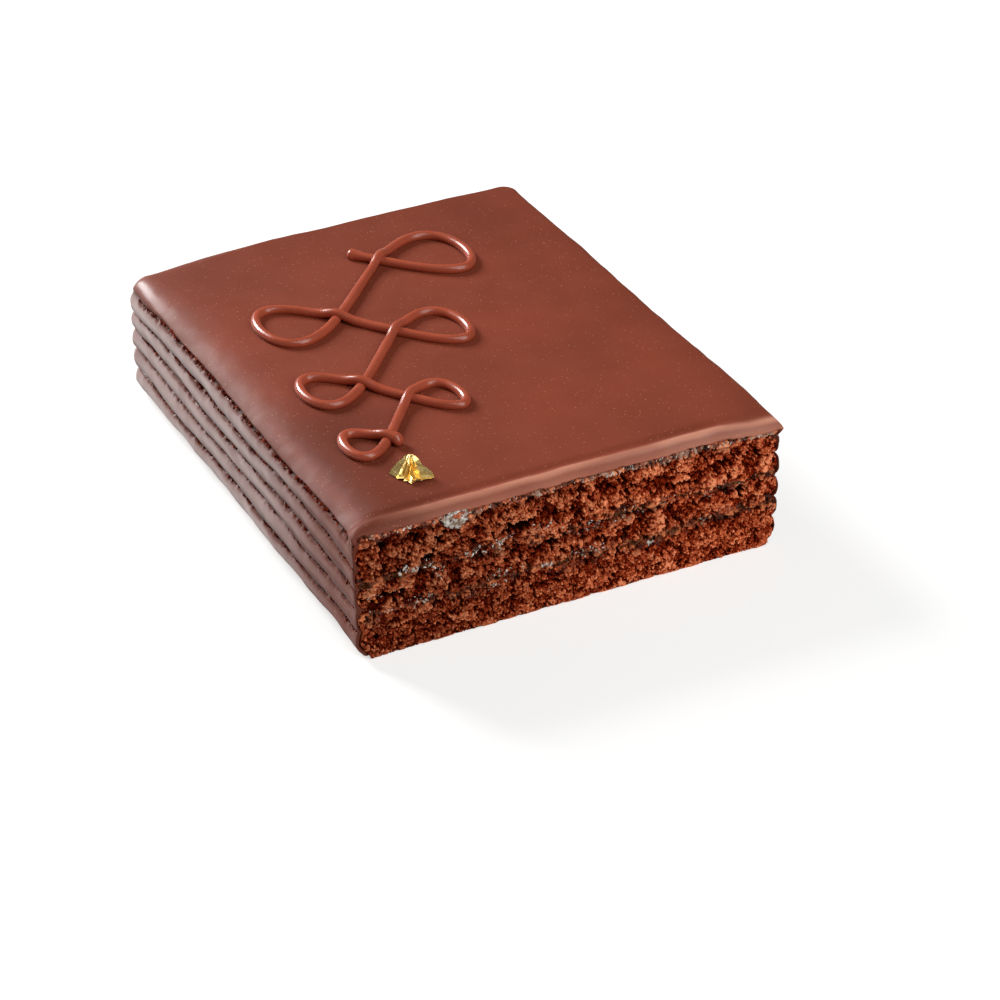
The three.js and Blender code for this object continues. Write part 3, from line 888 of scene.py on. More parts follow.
def top_height(x, y):
    behind = y - FRONT
    ragged = LIP_RAGGED * swell(x / LIP_RAGGED_SIZE[0], y / LIP_RAGGED_SIZE[1], 71, 2)
    ragged = ragged * np.exp(-behind / LIP_RAGGED_REACH)
    droop = SLOPE_DROOP * np.exp(-(x + HALF_WIDTH) / SLOPE_DROOP_REACH)
    droop = droop + CORNER_DROOP * far_corner(x, y, CORNER_DROOP_REACH)
    uneven = TOP_UNEVEN * swell(x / TOP_UNEVEN_SIZE, y / TOP_UNEVEN_SIZE, 72, 2)
    return CAKE_HEIGHT - lip_drop(x, behind) - droop + uneven + ragged


# Torn crumb

def splat(height, tint, centres, radii, lifts, tints, thickness):
    """Raises a height map over flattened round grains, keeping the higher of the two at each place."""
    rows, columns = height.shape
    for (x, z), (wide, tall), lift, shade in zip(centres, radii, lifts, tints):
        first_column = max(int((x - wide) / MAP_STEP), 0)
        last_column = min(int((x + wide) / MAP_STEP) + 2, columns)
        first_row = max(int((z - tall) / MAP_STEP), 0)
        last_row = min(int((z + tall) / MAP_STEP) + 2, rows)
        if first_column >= last_column or first_row >= last_row:
            continue
        across = (np.arange(first_column, last_column) * MAP_STEP - x) / wide
        upward = (np.arange(first_row, last_row) * MAP_STEP - z) / tall
        inside = 1 - across[None, :] ** 2 - upward[:, None] ** 2
        grain = lift + thickness * min(wide, tall) * np.sqrt(np.maximum(inside, 0))
        window = (slice(first_row, last_row), slice(first_column, last_column))
        higher = (inside > 0) & (grain > height[window])
        height[window][higher] = grain[higher]
        tint[window][higher] = shade


def scatter(draw, spacing, radius, bias, longest):
    """Grains over the cut face, about so far apart: centres on the map, places on the cut, and radii."""
    columns = int(2 * HALF_WIDTH / spacing)
    rows = int(CAKE_HEIGHT / spacing)
    count = columns * rows
    x, z = np.meshgrid(np.arange(columns), np.arange(rows))
    centres = (points(x.ravel(), z.ravel()) + draw.random((count, 2))) * spacing
    radii = lerp(*radius, draw.random((count, 1)) ** bias) * lerp(0.7, longest, draw.random((count, 2)))
    return centres, (centres[:, 0] - HALF_WIDTH, centres[:, 1]), radii


def sample(field, x, z):
    """A map of the cut face read between its points."""
    column = np.clip((x + HALF_WIDTH) / MAP_STEP, 0, field.shape[1] - 1.001)
    row = np.clip(z / MAP_STEP, 0, field.shape[0] - 1.001)
    i = row.astype(int)
    j = column.astype(int)
    up = row - i
    across = column - j
    below = lerp(field[i, j], field[i, j + 1], across)
    above = lerp(field[i + 1, j], field[i + 1, j + 1], across)
    return lerp(below, above, up)


def filtered(field, gain_at):
    """The map with its waves of each frequency, per mm, kept as far as the gain says."""
    upward = np.fft.fftfreq(field.shape[0], MAP_STEP)[:, None]
    across = np.fft.rfftfreq(field.shape[1], MAP_STEP)[None, :]
    return np.fft.irfft2(np.fft.rfft2(field) * gain_at(np.hypot(upward, across)), field.shape)


def blurred(field, reach):
    return filtered(field, lambda frequency: np.exp(-2 * (math.pi * reach * frequency) ** 2))


def waves(draw, shape, size):
    """Random waves of about one size over the cut face, with a spread of 1."""
    field = filtered(draw.standard_normal(shape), lambda frequency: bell((frequency * size - 1) / 0.5))
    return field / field.std()


def crumb_maps():
    """Heights of the torn crumb and of its clumps alone, proudness for painted light and shade, and grain
    tones.
    """
    draw = np.random.default_rng(11)
    shape = (int(CAKE_HEIGHT / MAP_STEP) + 1, int(2 * HALF_WIDTH / MAP_STEP) + 1)
    z, x = np.meshgrid(np.arange(shape[0]) * MAP_STEP, np.arange(shape[1]) * MAP_STEP, indexing="ij")
    x = x - HALF_WIDTH
    upper = smooth(9, 16, z)
    rough = lerp(0.55, 1.0, upper)

    # Clumps over a deep floor, bent out of round
    torn = rough * TORN * waves(draw, shape, TORN_SIZE)
    for hollow_x, hollow_z, wide, tall in HOLLOWS:
        ragged = 1 + 0.5 * swell(x / 2.2, z / 1.6, 22, 2)
        away = ((x - hollow_x) / wide) ** 2 + ((z - hollow_z) / tall) ** 2
        torn -= HOLLOW_DEPTH * bell(away * ragged)
    height = torn - PIT_FLOOR * rough
    tint = np.full(shape, 0.3)
    centres, places, radii = scatter(draw, CLUMP_SPACING, CLUMP_RADIUS, 1.6, 1.3)
    count = len(centres)
    sunk = CLUMP_SUNK * (1 - draw.random(count) ** 0.7) * sample(rough, *places)
    splat(height, tint, centres, radii, sample(torn, *places) - sunk, draw.random(count), 0.75)
    bent_x = x + WARP * waves(draw, shape, WARP_SIZE)
    bent_z = z + WARP * waves(draw, shape, WARP_SIZE)
    height = blurred(sample(height, bent_x, bent_z), 0.08)
    tint = 0.5 * sample(tint, bent_x, bent_z)
    height -= height.mean()
    lumps = height.copy()

    # Walls and pinholes within the clumps, then grains
    strands = waves(draw, shape, STRAND_SIZE)
    height += STRANDS * (1 - np.abs(strands)) - STRAND_PITS * smooth(1.1, 1.9, strands)
    centres, places, radii = scatter(draw, GRAIN_SPACING, GRAIN_RADIUS, 1.5, 1.35)
    count = len(centres)
    lifts = sample(height, *places) + lerp(-0.25, 0.12, draw.random(count))
    splat(height, tint, centres, radii, lifts, draw.random(count), 0.9)

    # How proud each place stands among its neighbours, over three reaches, for painted light and shade
    near, middle, wide = [blurred(height, reach) for reach in PROUD_REACHES]
    bands = ((height - near) / lerp(0.75, 1.0, upper), near - middle, middle - wide)
    shares = [weight * band / band.std() for weight, band in zip(PROUD_WEIGHTS, bands)]
    return height, lumps, np.clip(sum(shares, PROUD_MIDDLE), 0, 1), tint


HEIGHT_MAP, LUMP_MAP, PROUD_SHADE_MAP, TINT_MAP = crumb_maps()


def boundary(x, number):
    """Height of the boundary between two layers along the cut. Each line of jam is pinched and swollen."""
    level, wave = BOUNDARIES[number]
    if number in (0, 6):
        return level + 0 * x
    line = (number + 1) // 2
    ends = np.clip((HALF_WIDTH - GLAZE_SIDE - np.abs(x)) / CLUMP - 1, 0, 1)
    slow = np.sin(x / (2 * CLUMP) + level / CLUMP) + noise(x / CLUMP, level, CRAG_SEED + 2) - 0.5
    ragged = JAM_RAGGED * swell(x / 1.7, line * 7.3, 81, 3)
    pinch = 0
    if number in (1, 2, 3, 4):
        half = (BOUNDARIES[2 * line][0] - BOUNDARIES[2 * line - 1][0]) / 2
        thickness = lerp(JAM_THINNEST, JAM_THICKEST, smooth(0.25, 0.75, noise(x / 6.5, line * 3.7, 83)))
        pinch = half * (1 - thickness) * (1 if number % 2 else -1)
    return level + ends * (wave * slow + ragged + pinch)


def soak(x, z):
    """How wet the crumb is: most beside the jam, in uneven tongues."""
    wet = 0
    for number in range(1, 6):
        reach = 0.7 + 1.9 * noise(x / 3.1, number * 3.1, 91)
        away = np.abs(z - boundary(x, number)) / reach
        wet = np.maximum(wet, bell(away))
    return wet * smooth(0.3, 0.7, noise(x / 1.3, z / 1.0, 92)) * smooth(0.25, 0.55, noise(x / 7, z / 9, 94))


def pooled(x, z):
    """1 where jam lies in a smooth pool, 0 where crumb lies across it."""
    return smooth(0.57, 0.68, noise(x / 3.6, z / 1.5, 93))


def skin_shown(side, height):
    """Width of the glaze's own cut edge at the left (-1) and right (1) ends of the cut."""
    share = noise(height / 3.3, 7 * side, 112) ** 1.5
    return np.where(side < 0, lerp(*SKIN_SHOWN_LEFT, share), lerp(*SKIN_SHOWN_RIGHT, share))


def cut_ends(x):
    """Fades to 0 at the two ends of the cut, where the crumb meets the glaze."""
    return smooth(0, 2.5, HALF_WIDTH - GLAZE_SIDE - 1.5 - np.abs(x))


def leaned(x, z):
    """How far the cut leans back towards the glaze's edge near the top."""
    return np.maximum(lip_setback(x), 0) * smooth(26, 40, z)


def inside_wall(alongs, corner_cells, levels, depth):
    """Rows of points up the plain inside of the wall, so far in from its outside."""
    acrosses = list(np.linspace(BACK_END, -BACK_END, 10)[1:-1])
    columns = wall_columns(list(alongs), corner_cells, acrosses)
    return np.stack([wall_points(column, rim_inset(column, levels) + depth, levels) for column in columns])


def make_layer(name, number, depth_at, finish, marks_at, even=False):
    """One layer: torn along the cut, plain behind the glaze, with level faces above and below."""
    cells = int(2 * HALF_WIDTH / CRUMB_STEP)
    bottom = BOUNDARIES[number][0]
    top = BOUNDARIES[number + 1][0]
    shares = np.linspace(0, 1, int((top - bottom) / CRUMB_STEP) + 1)
    levels = lerp(bottom, top, shares)
    skin = GLAZE_SIDE + GAP
    rest = inside_wall(np.linspace(FRONT + CRAG_RUN, SIDE_END, 12), 5, levels, skin).swapaxes(0, 1)
    left = rest[:, -1, 0] - skin + skin_shown(-1, levels)
    right = rest[:, 0, 0] + skin - skin_shown(1, levels)
    x = lerp(left[:, None], right[:, None], np.linspace(0, 1, cells + 1)[None, :])
    z = lerp(boundary(x, number), boundary(x, number + 1), shares[:, None])
    front = points(x, FRONT + depth_at(x, z), z)

    sheet = Sheet()
    index = sheet.rows(np.concatenate([front, rest], axis=1))
    sheet.grid(closed(index))
    for row, level in ((0, bottom), (-1, top)):
        inner = points(x[row, 1:-1], FRONT + CRAG_RUN, level)
        behind = np.concatenate([index[row, -1:], sheet.rows(inner), index[row, cells + 1:cells + 2]])
        sheet.strip(index[row, :cells + 1], behind)
        sheet.zip(behind, index[row, cells + 1:][::-1])
    make_piece(name + "_cut", sheet, finish, [name], marks_at(sheet.places()), even)


def sponge_depth(x, z):
    middle = lerp(FOOT_DEPTH, MIDDLE_DEPTH, smooth(0, 14, z))
    fine = lerp(0.4 * sample(LUMP_MAP, x, z), sample(HEIGHT_MAP, x, z), smooth(0, 0.7, z))
    torn = middle - lerp(0.5, 1.0, cut_ends(x)) * fine
    return np.clip(torn + leaned(x, z), -0.9, DEEPEST)


def sponge_marks(places):
    x, y, z = places.T
    shown = (y < FRONT + CRAG_RUN - 0.5).astype(float)
    return {
        "proud_shade": sample(PROUD_SHADE_MAP, x, z) * shown,
        # Each grain's random tone, with painted shade towards the left end and painted light towards the
        # right
        "tint": sample(TINT_MAP, x, z) + lerp(-PAINTED_LIGHT_ACROSS_CUT, PAINTED_LIGHT_ACROSS_CUT, smooth(-62, 45, x)),
        "soak": soak(x, z) * shown,
    }


def jam_depth(x, z):
    pool = MIDDLE_DEPTH + 0.4 - sample(LUMP_MAP, x, z) + 0.5 * swell(x / 1.6, z / 1.1, 95, 3) + leaned(x, z)
    return np.clip(lerp(sponge_depth(x, z), pool, pooled(x, z)), -0.2, DEEPEST)


def jam_marks(places):
    return {"pooled": pooled(places[:, 0], places[:, 2]), **sponge_marks(places)}


def coat_depth(x, z):
    """The coat under the glaze, dragged by the knife into fine upright streaks and stuck with crumb."""
    streaks = JAM_STREAKS * swell(x / 0.6, z / 2.2, 96, 3)
    return np.clip(0.8 * sponge_depth(x, z) + 0.2 * leaned(x, z) - 0.5 + streaks, -0.3, DEEPEST)


def coat_marks(places):
    x, z = places.T[[0, 2]]
    # Pale strokes and patches of painted sheen on the jam film
    strokes = smooth(0.45, 0.65, noise(x / 0.6, z / 1.8, 97))
    painted_film_sheen = strokes * smooth(0.45, 0.7, noise(x / 5, z / 3, 98))
    return {"painted_film_sheen": painted_film_sheen, **sponge_marks(places)}


def make_layers(sponge):
    jam = jam_finish()
    make_layer("sponge_base", 0, sponge_depth, sponge, sponge_marks)
    make_layer("jam_lower", 1, jam_depth, jam, jam_marks, even=True)
    make_layer("sponge_middle", 2, sponge_depth, sponge, sponge_marks)
    make_layer("jam_upper", 3, jam_depth, jam, jam_marks, even=True)
    make_layer("sponge_top", 4, sponge_depth, sponge, sponge_marks)
    make_layer("jam_coat", 5, coat_depth, coat_finish(), coat_marks, even=True)


# Glaze

def skin_levels():
    """Heights of the rows of points up the wall, from the hem to the top groove."""
    levels = [HEM] + HEM_LEVELS
    for rib in range(RIB_COUNT, 0, -1):
        groove = TOP_GROOVE - rib * RIB_PITCH
        levels += [groove + step for step in RIB_LEVELS if groove + step > HEM_LEVELS[-1]]
    return np.array(levels + [TOP_GROOVE])


def skin_column(column):
    """One upright line of the glaze's outside, from the hem over the rim to the edge of the flat top."""
    levels = skin_levels()
    wall = skin_points(column, levels)
    reach, heights = rim_profile(column)
    depth = rib_depth(column)
    insets = reach + lerp(rib_inset(heights, depth), depth, slope_share(column))
    insets = insets + unevenness(column, np.full_like(heights, TOP_GROOVE)) * fade(0, 6, reach)
    if column.side < 0 and column.turn is not None:
        insets = insets + CORNER_CHAMFER * math.sin(2 * column.turn) * fade(0.5, 6, reach)
    rim = wall_points(column, insets, heights + wander(column, heights) + slope_unevenness(column, reach))
    share = ((heights - heights[0]) / RIM_HEIGHT) ** 2
    summit = top_height(rim[:, 0], rim[:, 1])
    rim[:, 2] += share * (summit - CAKE_HEIGHT)
    return set_back(np.concatenate([wall, rim]))


def bare_at(column, level):
    """How far the skin is broken into the crumb: ragged rows of pits just under each groove."""
    lane = 60 * column.side
    worn = np.zeros_like(level)
    if column.turn is not None:
        return worn
    for rib, wear in enumerate(GROOVE_WEAR):
        groove = TOP_GROOVE - rib * RIB_PITCH
        near = bell((level - groove + 0.4) / 0.72)
        ragged = smooth(0.31, 0.53, noise(column.along / 0.9 + lane, level / 0.7, 101 + rib))
        patchy = lerp(0.4, 1.0, smooth(0.2, 0.5, noise(column.along / 6 + lane, rib * 5.5, 107)))
        worn = np.maximum(worn, wear * near * ragged * patchy)
    far_end = SIDE_END if column.side else BACK_END
    along = column.along if column.side else abs(column.along)
    return worn * fade(far_end - 3, far_end, along) * rib_depth(column) / RIB_DEPTH


def rib_underside_shade(column, levels):
    """Painted shade: 1 under each rib and under the rim, 0 on the face above it, on one line of the glaze.
    """
    phase = np.mod((levels - TOP_GROOVE) / RIB_PITCH, 1)
    reach = rim_profile(column)[0]
    faces = np.concatenate([fade(0.02, 0.6, phase), 0.6 * fade(0, 0.5, reach)])
    return faces * rib_depth(column) / RIB_DEPTH


def glaze_marks(places, bare, under):
    """What the finish of the glaze goes by at each point. Points past those of the outside are whole."""
    x, y, z = places.T
    beyond = np.zeros(len(places) - bare.size)
    sloping = smooth(-46, -58, x)
    on_top = smooth(38.0, 39.5, z)
    above_wall = smooth(37.5, 39.0, z)

    # Paler dragged glaze and a painted highlight along the lip's crest, and the raw edge of the wall at the
    # cut
    behind = y - FRONT - lip_setback(x)
    crest = bell((behind - 2.4) / 1.5)
    edge = np.maximum(crest, 0.4 * fade(0.2, 2.0, behind)) * on_top
    patchy = lerp(0.65, 1.0, smooth(0.2, 0.8, noise(x / 8, y / 3, 113)))
    edge *= patchy * lerp(0.05, 0.9, smooth(-60, -34, x))
    behind_wall = y - FRONT - edge_setback(x, z)

    # Sheen of the side walls, of the far left corner and of the lip
    wall = fade(37.0, 37.8, z) * lerp(0.12, 1, smooth(FRONT, FRONT + 80, y))
    wall *= lerp(1, 0.45, smooth(BACK - 8, BACK - 1, y))
    wall = np.maximum(wall, CORNER_SHEEN * far_corner(x, y, CORNER_SHEEN_REACH))
    wall = np.maximum(wall, LIP_SHEEN * crest * on_top * smooth(-10, 45, x))

    # Painted shade on the top near the front left corner and on the lip there, and a little at the back and
    # right
    deep = smooth(-24, -50, x) * smooth(6, -40, y)
    deep = np.maximum(deep, PAINTED_SHADE_AT_EDGE * np.maximum(smooth(10, 80, y), smooth(50, 66, x)))
    at_lip = fade(2, 6, y - FRONT) * above_wall
    deep = np.maximum(deep * smooth(39.5, 41.0, z), at_lip * smooth(-34, -48, x))
    return {
        "bare": np.append(bare, beyond),
        "edge": np.minimum(edge * lerp(1, 1.35, smooth(0, 50, x)), 1),
        "raw": fade(0.1, 1.3, behind_wall) * (1 - above_wall),
        # Painted shade under the ribs and the rim
        "under": np.append(under, beyond),
        # Painted grey sheen, on the walls and at the left up the lower slope
        "side": fade(lerp(36.5, 37.8, sloping), lerp(39.5, 41.6, sloping), z),
        "wall": wall,
        "deep": deep,
    }


def make_glaze(finish):
    lip = list(np.linspace(0, LIP_REACH, LIP_CELLS + 1)[:-1])
    beyond = list(np.linspace(LIP_REACH, SIDE_END - FRONT, SIDE_CELLS + 1))
    alongs = [FRONT + behind for behind in lip + beyond]
    acrosses = list(np.linspace(BACK_END, -BACK_END, BACK_CELLS + 1))
    columns = wall_columns(alongs, CORNER_CELLS, acrosses)
    levels = skin_levels()

    sheet = Sheet()
    skin = np.stack([skin_column(column) for column in columns])
    worn = np.stack([bare_at(column, levels) for column in columns])
    bare = np.concatenate([worn, np.zeros((len(columns), skin.shape[1] - len(levels)))], axis=1)
    # Painted shade under each rib and the rim
    under = np.stack([rib_underside_shade(column, levels) for column in columns])
    inward = -points(skin[..., 0], np.maximum(skin[..., 1], 0), 0)
    for number, column in enumerate(columns):
        if column.turn is None:
            inward[number] = (-column.side, 0 if column.side else -1, 0)
    inward /= lengths(inward)
    skin += PIT_DEPTH * bare[..., None] * inward
    outer = sheet.rows(skin)
    sheet.grid(outer)

    # Flat top, as rows across from the cut to the back, with fans at the two far corners
    side_count = len(alongs)
    rim = outer[:, -1]
    right = rim[:side_count]
    left = rim[::-1][:side_count]
    back_first = side_count + CORNER_CELLS + 1
    back_last = back_first + np.searchsorted(-np.array(acrosses), HALF_WIDTH - TOP_MARGIN)
    across = rim[back_first:back_last][::-1]
    x, y = np.meshgrid(sheet.places()[across, 0], alongs)
    middle = sheet.rows(set_back(points(x, y, top_height(x, y))))
    sheet.grid(np.concatenate([left[:, None], middle, right[:, None]], axis=1))
    sheet.strip(middle[-1], across)
    right_corner = rim[side_count - 1:back_first + 1]
    left_corner = rim[back_last - 1:len(columns) - side_count + 1]
    for arc, hub in ((right_corner, middle[-1, -1]), (left_corner, middle[-1, 0])):
        sheet.faces += points(arc[:-1], arc[1:], hub).tolist()

    # Cut edge, rounded between the outside and the underside
    outside = np.concatenate([outer[-1], middle[0], outer[0][::-1]])
    edge = sheet.places()[outside]
    wall_count = outer.shape[1]
    back_edge = edge.copy()
    back_edge[:, 1] += CUT_EDGE_DEPTH
    thickness = skin_shown(np.sign(edge[:, 0]), edge[:, 2])
    filled = rib_inset(edge[:, 2]) - rib_inset(edge[:, 2], rib_depth(columns[-1]))
    filled += CUT_FOOT_FILL * fade(0, CUT_FOOT_HEIGHT, edge[:, 2])
    back_edge[:wall_count, 0] += thickness[:wall_count] + filled[:wall_count]
    back_edge[-wall_count:, 0] -= thickness[-wall_count:]
    sag = SAG * swell(back_edge[:, 0] / SAG_RUN, 0, 111, 3)
    sag += SAG_NOTCHES * swell(back_edge[:, 0] / SAG_NOTCH_RUN, 0, 114, 2)
    back_edge[:, 2] = np.minimum(back_edge[:, 2], GLAZE_UNDERSIDE - 0.2 + sag)
    rounds = []
    for share in CUT_EDGE_ROUNDS:
        row = lerp(edge, back_edge, share)
        row[:, 1] -= LIP_BULGE * math.sin(math.pi * share)
        rounds.append(row)
    rounds.append(back_edge)
    cut = sheet.rows(np.stack(rounds))
    sheet.grid(np.concatenate([outside[None, :], cut]))

    # Underside and inside of the wall, plain because the layers back them
    inner_alongs = np.append(FRONT + CRAG_RUN, np.linspace(FRONT + LIP_REACH, SIDE_END, 14))
    inside = inside_wall(inner_alongs, 4, np.append(levels[::2], GLAZE_UNDERSIDE), GLAZE_SIDE)
    inner = sheet.rows(inside)
    sheet.grid(inner)
    between = lerp(inside[-1, -1], inside[0, -1], np.linspace(0, 1, CEILING_CELLS + 1)[1:-1, None])
    ceiling_front = sheet.rows(between)
    ceiling = np.concatenate([inner[-1, -1:], ceiling_front, inner[0, -1:]])
    sheet.zip(ceiling, inner[:, -1][::-1])
    lining = np.concatenate([inner[-1], ceiling_front, inner[0][::-1]])
    sheet.zip(cut[-1], lining)
    sheet.zip(np.concatenate([cut[::-1, -1], outer[:, 0], cut[:, 0]]), inner[:, 0])
    marks = glaze_marks(sheet.places(), bare, under)
    make_piece("glaze_coat", sheet, finish, ["glaze"], marks)


# Piped flourish

def pipe_line():
    """The line of the flourish on the top, stepped evenly along its length."""
    share = np.linspace(0, 1, PIPE_SAMPLES)
    phase = 2 * math.pi * PIPE_SWINGS * share
    width = lerp(PIPE_WIDE, PIPE_NARROW, share)
    loop = lerp(PIPE_LOOP_WIDE, PIPE_LOOP_NARROW, share)
    middle = lerp(PIPE_START, PIPE_END, (1 - (1 - share) ** PIPE_EASE)[:, None])
    x = middle[:, 0] + width * np.sin(phase)
    y = middle[:, 1] - loop * np.sin(2 * phase)
    run = np.concatenate([[0], np.cumsum(np.hypot(np.diff(x), np.diff(y)))])
    steps = np.linspace(0, run[-1], int(run[-1] / PIPE_STEP) + 1)
    return points(np.interp(steps, run, x), np.interp(steps, run, y)), steps


def pipe_crossings(line):
    """Steps at which a later pass of the line crosses an earlier one."""
    starts = line[:-1]
    ends = line[1:]

    def turn(a, b, c):
        ahead = b - a
        aside = c - a
        return ahead[..., 0] * aside[..., 1] - ahead[..., 1] * aside[..., 0]

    first, first_end = starts[:, None], ends[:, None]
    second, second_end = starts[None, :], ends[None, :]
    parted = turn(first, first_end, second) * turn(first, first_end, second_end) < 0
    across = turn(second, second_end, first) * turn(second, second_end, first_end) < 0
    return np.nonzero(np.triu(parted & across, 2))[1]


def make_piping(finish):
    line, steps = pipe_line()
    lift = np.zeros(len(steps))
    for later in pipe_crossings(line):
        away = (steps - steps[later]) / CROSSING_REACH
        lift = np.maximum(lift, CROSSING_LIFT * bell(away))
    from_end = np.minimum(steps, steps[-1] - steps)
    swollen = 1 + DROP_SWELL * bell(from_end / DROP_REACH) + PIPE_UNEVEN * swell(steps / 7, 0, 121, 3)
    radius = PIPE_RADIUS * swollen
    radius *= np.sqrt(np.clip(1 - (1 - np.minimum(from_end / radius, 1)) ** 2, 0.02, 1))
    forward = np.gradient(line, axis=0)
    forward /= lengths(forward)
    aside = points(forward[:, 1], -forward[:, 0], 0)
    turns = 2 * math.pi * np.arange(PIPE_SIDES)[:, None] / PIPE_SIDES
    centre = points(line[:, 0], line[:, 1], CAKE_HEIGHT + PIPE_RADIUS - PIPE_SINK + lift)
    outward = np.cos(turns) * aside[:, None, :] + np.sin(turns) * np.array([0, 0, 1])
    sheet = Sheet()
    rings = sheet.rows(centre[:, None, :] + radius[:, None, None] * outward)
    sheet.grid(closed(rings))
    sheet.fan(rings[0], centre[0])
    sheet.fan(rings[-1], centre[-1])
    make_piece("piped_flourish", sheet, finish, ["glaze"])


# Gold leaf

def make_leaf(finish):
    """A pleated peak of leaf, pulled out to ragged tips at its foot and crumpled into a knob on top."""
    draw = np.random.default_rng(31)
    turns = 2 * math.pi * (np.arange(LEAF_PLEATS) + 0.5 * draw.random(LEAF_PLEATS)) / LEAF_PLEATS
    reach = np.full(LEAF_PLEATS, LEAF_REACH)
    for bearing, length in LEAF_TIPS:
        away = (np.degrees(turns) - bearing + 180) % 360 - 180
        reach = reach + length * bell(away / LEAF_TIP_SPREAD)
    pleats = np.where(np.arange(LEAF_PLEATS) % 2, 1.0, -1.0)
    outward = points(np.cos(turns), np.sin(turns))
    rows = []
    for share in LEAF_RINGS:
        bulge = math.sin(math.pi * share)
        width = lerp(LEAF_KNOB, 1.0, share ** 0.9) * (1 + LEAF_PLEAT_DEPTH * pleats * (1 + bulge))
        middle = lerp(LEAF_PEAK, LEAF_PLACE, share ** 0.8)
        crumple = LEAF_CRUMPLE * draw.normal(0, 0.7, (LEAF_PLEATS, 2))
        x, y = (middle + (reach * width)[:, None] * outward + crumple).T
        height = LEAF_HEIGHT * (1 - share ** 0.75) + LEAF_CRUMPLE * draw.random(LEAF_PLEATS)
        height = height + 2 * LEAF_THICKNESS + LEAF_PLEAT_RISE * pleats * bulge
        rows.append(points(x, y, top_height(x, y) + height))
    over = np.stack(rows)
    inward = np.append(LEAF_PLACE, CAKE_HEIGHT) - over
    under = over + LEAF_THICKNESS * inward / lengths(inward)
    sheet = Sheet()
    over_index = sheet.rows(over)
    under_index = sheet.rows(under)
    sheet.grid(closed(over_index))
    sheet.grid(closed(under_index))
    sheet.strip(closed(over_index[-1]), closed(under_index[-1]))
    sheet.fan(over_index[0], over[0].mean(axis=0) + (0, 0, LEAF_CRUMPLE))
    sheet.fan(under_index[0], under[0].mean(axis=0))
    make_piece("gold_leaf_flake", sheet, finish, ["gold_leaf"], even=False)


# Loose bits

def grains(draw, centres, sizes, stretch=None, turns=0.0):
    """Small ragged lumps, one at each centre, as one sheet: stretched, then turned about the y axis."""
    shape = bmesh.new()
    bmesh.ops.create_icosphere(shape, subdivisions=1, radius=1.0)
    corners = np.array([vertex.co for vertex in shape.verts])
    faces = np.array([[vertex.index for vertex in face.verts] for face in shape.faces])
    shape.free()
    count = len(centres)
    ragged = lerp(0.65, 1.3, draw.random((count, len(corners), 1)))
    if stretch is None:
        stretch = lerp(0.7, 1.3, draw.random((count, 3)))
    along, deep, high = np.moveaxis(corners[None] * ragged * stretch[:, None, :], -1, 0)
    cosine = np.cos(turns + np.zeros(count))[:, None]
    sine = np.sin(turns + np.zeros(count))[:, None]
    turned = points(along * cosine - high * sine, deep, along * sine + high * cosine)
    places = centres[:, None, :] + sizes[:, None, None] * turned
    sheet = Sheet()
    index = sheet.rows(places)
    sheet.faces += index[:, faces].reshape(-1, 3).tolist()
    return sheet, len(corners)


def crumb_marks(proud_shade, tint, corner_count):
    """Marks of loose crumbs, the same all over each crumb."""
    return {
        "proud_shade": np.repeat(proud_shade, corner_count),
        "tint": np.repeat(tint, corner_count),
        "soak": np.zeros(len(proud_shade) * corner_count),
    }


def make_groove_crumbs(finish):
    """Crumb that shows through the broken skin along the grooves."""
    draw = np.random.default_rng(41)
    centres = []
    sizes = []
    runs = [(1, FRONT + 1, BACK - 10), (-1, FRONT + 1, BACK - 10), (0, -HALF_WIDTH + 10, HALF_WIDTH - 10)]
    for rib in range(RIB_COUNT):
        groove = TOP_GROOVE - rib * RIB_PITCH
        for side, low, high in runs:
            count = int((high - low) * GROOVE_CRUMBS_PER_MM * GROOVE_WEAR[rib])
            for along in lerp(low, high, draw.random(count)):
                if noise(along / 3.5 + 20 * side, rib * 5.5, 141) < 0.3:
                    continue
                level = min(groove + draw.normal(-0.3, 0.32), TOP_GROOVE - 0.1)
                place = skin_points(straight(side, along), np.array([level]))[0]
                size = lerp(*GROOVE_CRUMB_SIZE, draw.random() ** 1.5)
                inward = np.array([-side, 0 if side else -1, 0])
                centres.append(place + inward * 0.65 * size)
                sizes.append(size)
    sheet, corner_count = grains(draw, np.array(centres), np.array(sizes))
    tint = draw.random(len(sizes))
    proud_shade = lerp(0.05, 0.6, draw.random(len(sizes)) ** 2)
    make_piece("groove_crumbs", sheet, finish, marks=crumb_marks(proud_shade, tint, corner_count))


def make_foot_crumbs(finish):
    """Loose crumbs along the foot of the cut."""
    draw = np.random.default_rng(43)
    x = lerp(-HALF_WIDTH + 5, HALF_WIDTH - 5, draw.random(FOOT_CRUMBS))
    y = FRONT + 0.9 - 1.2 * draw.random(FOOT_CRUMBS) ** 3
    sizes = lerp(*FOOT_CRUMB_SIZE, draw.random(FOOT_CRUMBS) ** 2)
    sheet, corner_count = grains(draw, points(x, y, 1.3 * sizes), sizes)
    sheet.blocks[0][:, 2] = np.maximum(sheet.blocks[0][:, 2], 0)
    proud_shade = lerp(0.3, 0.9, draw.random(FOOT_CRUMBS))
    tint = draw.random(FOOT_CRUMBS)
    make_piece("foot_crumbs", sheet, finish, marks=crumb_marks(proud_shade, tint, corner_count))


def flattened(draw, count, longest, depth):
    """Stretches along, into and up the cut for flat bits."""
    return points(lerp(0.9, longest, draw.random(count)), depth, lerp(0.4, 0.9, draw.random(count)))


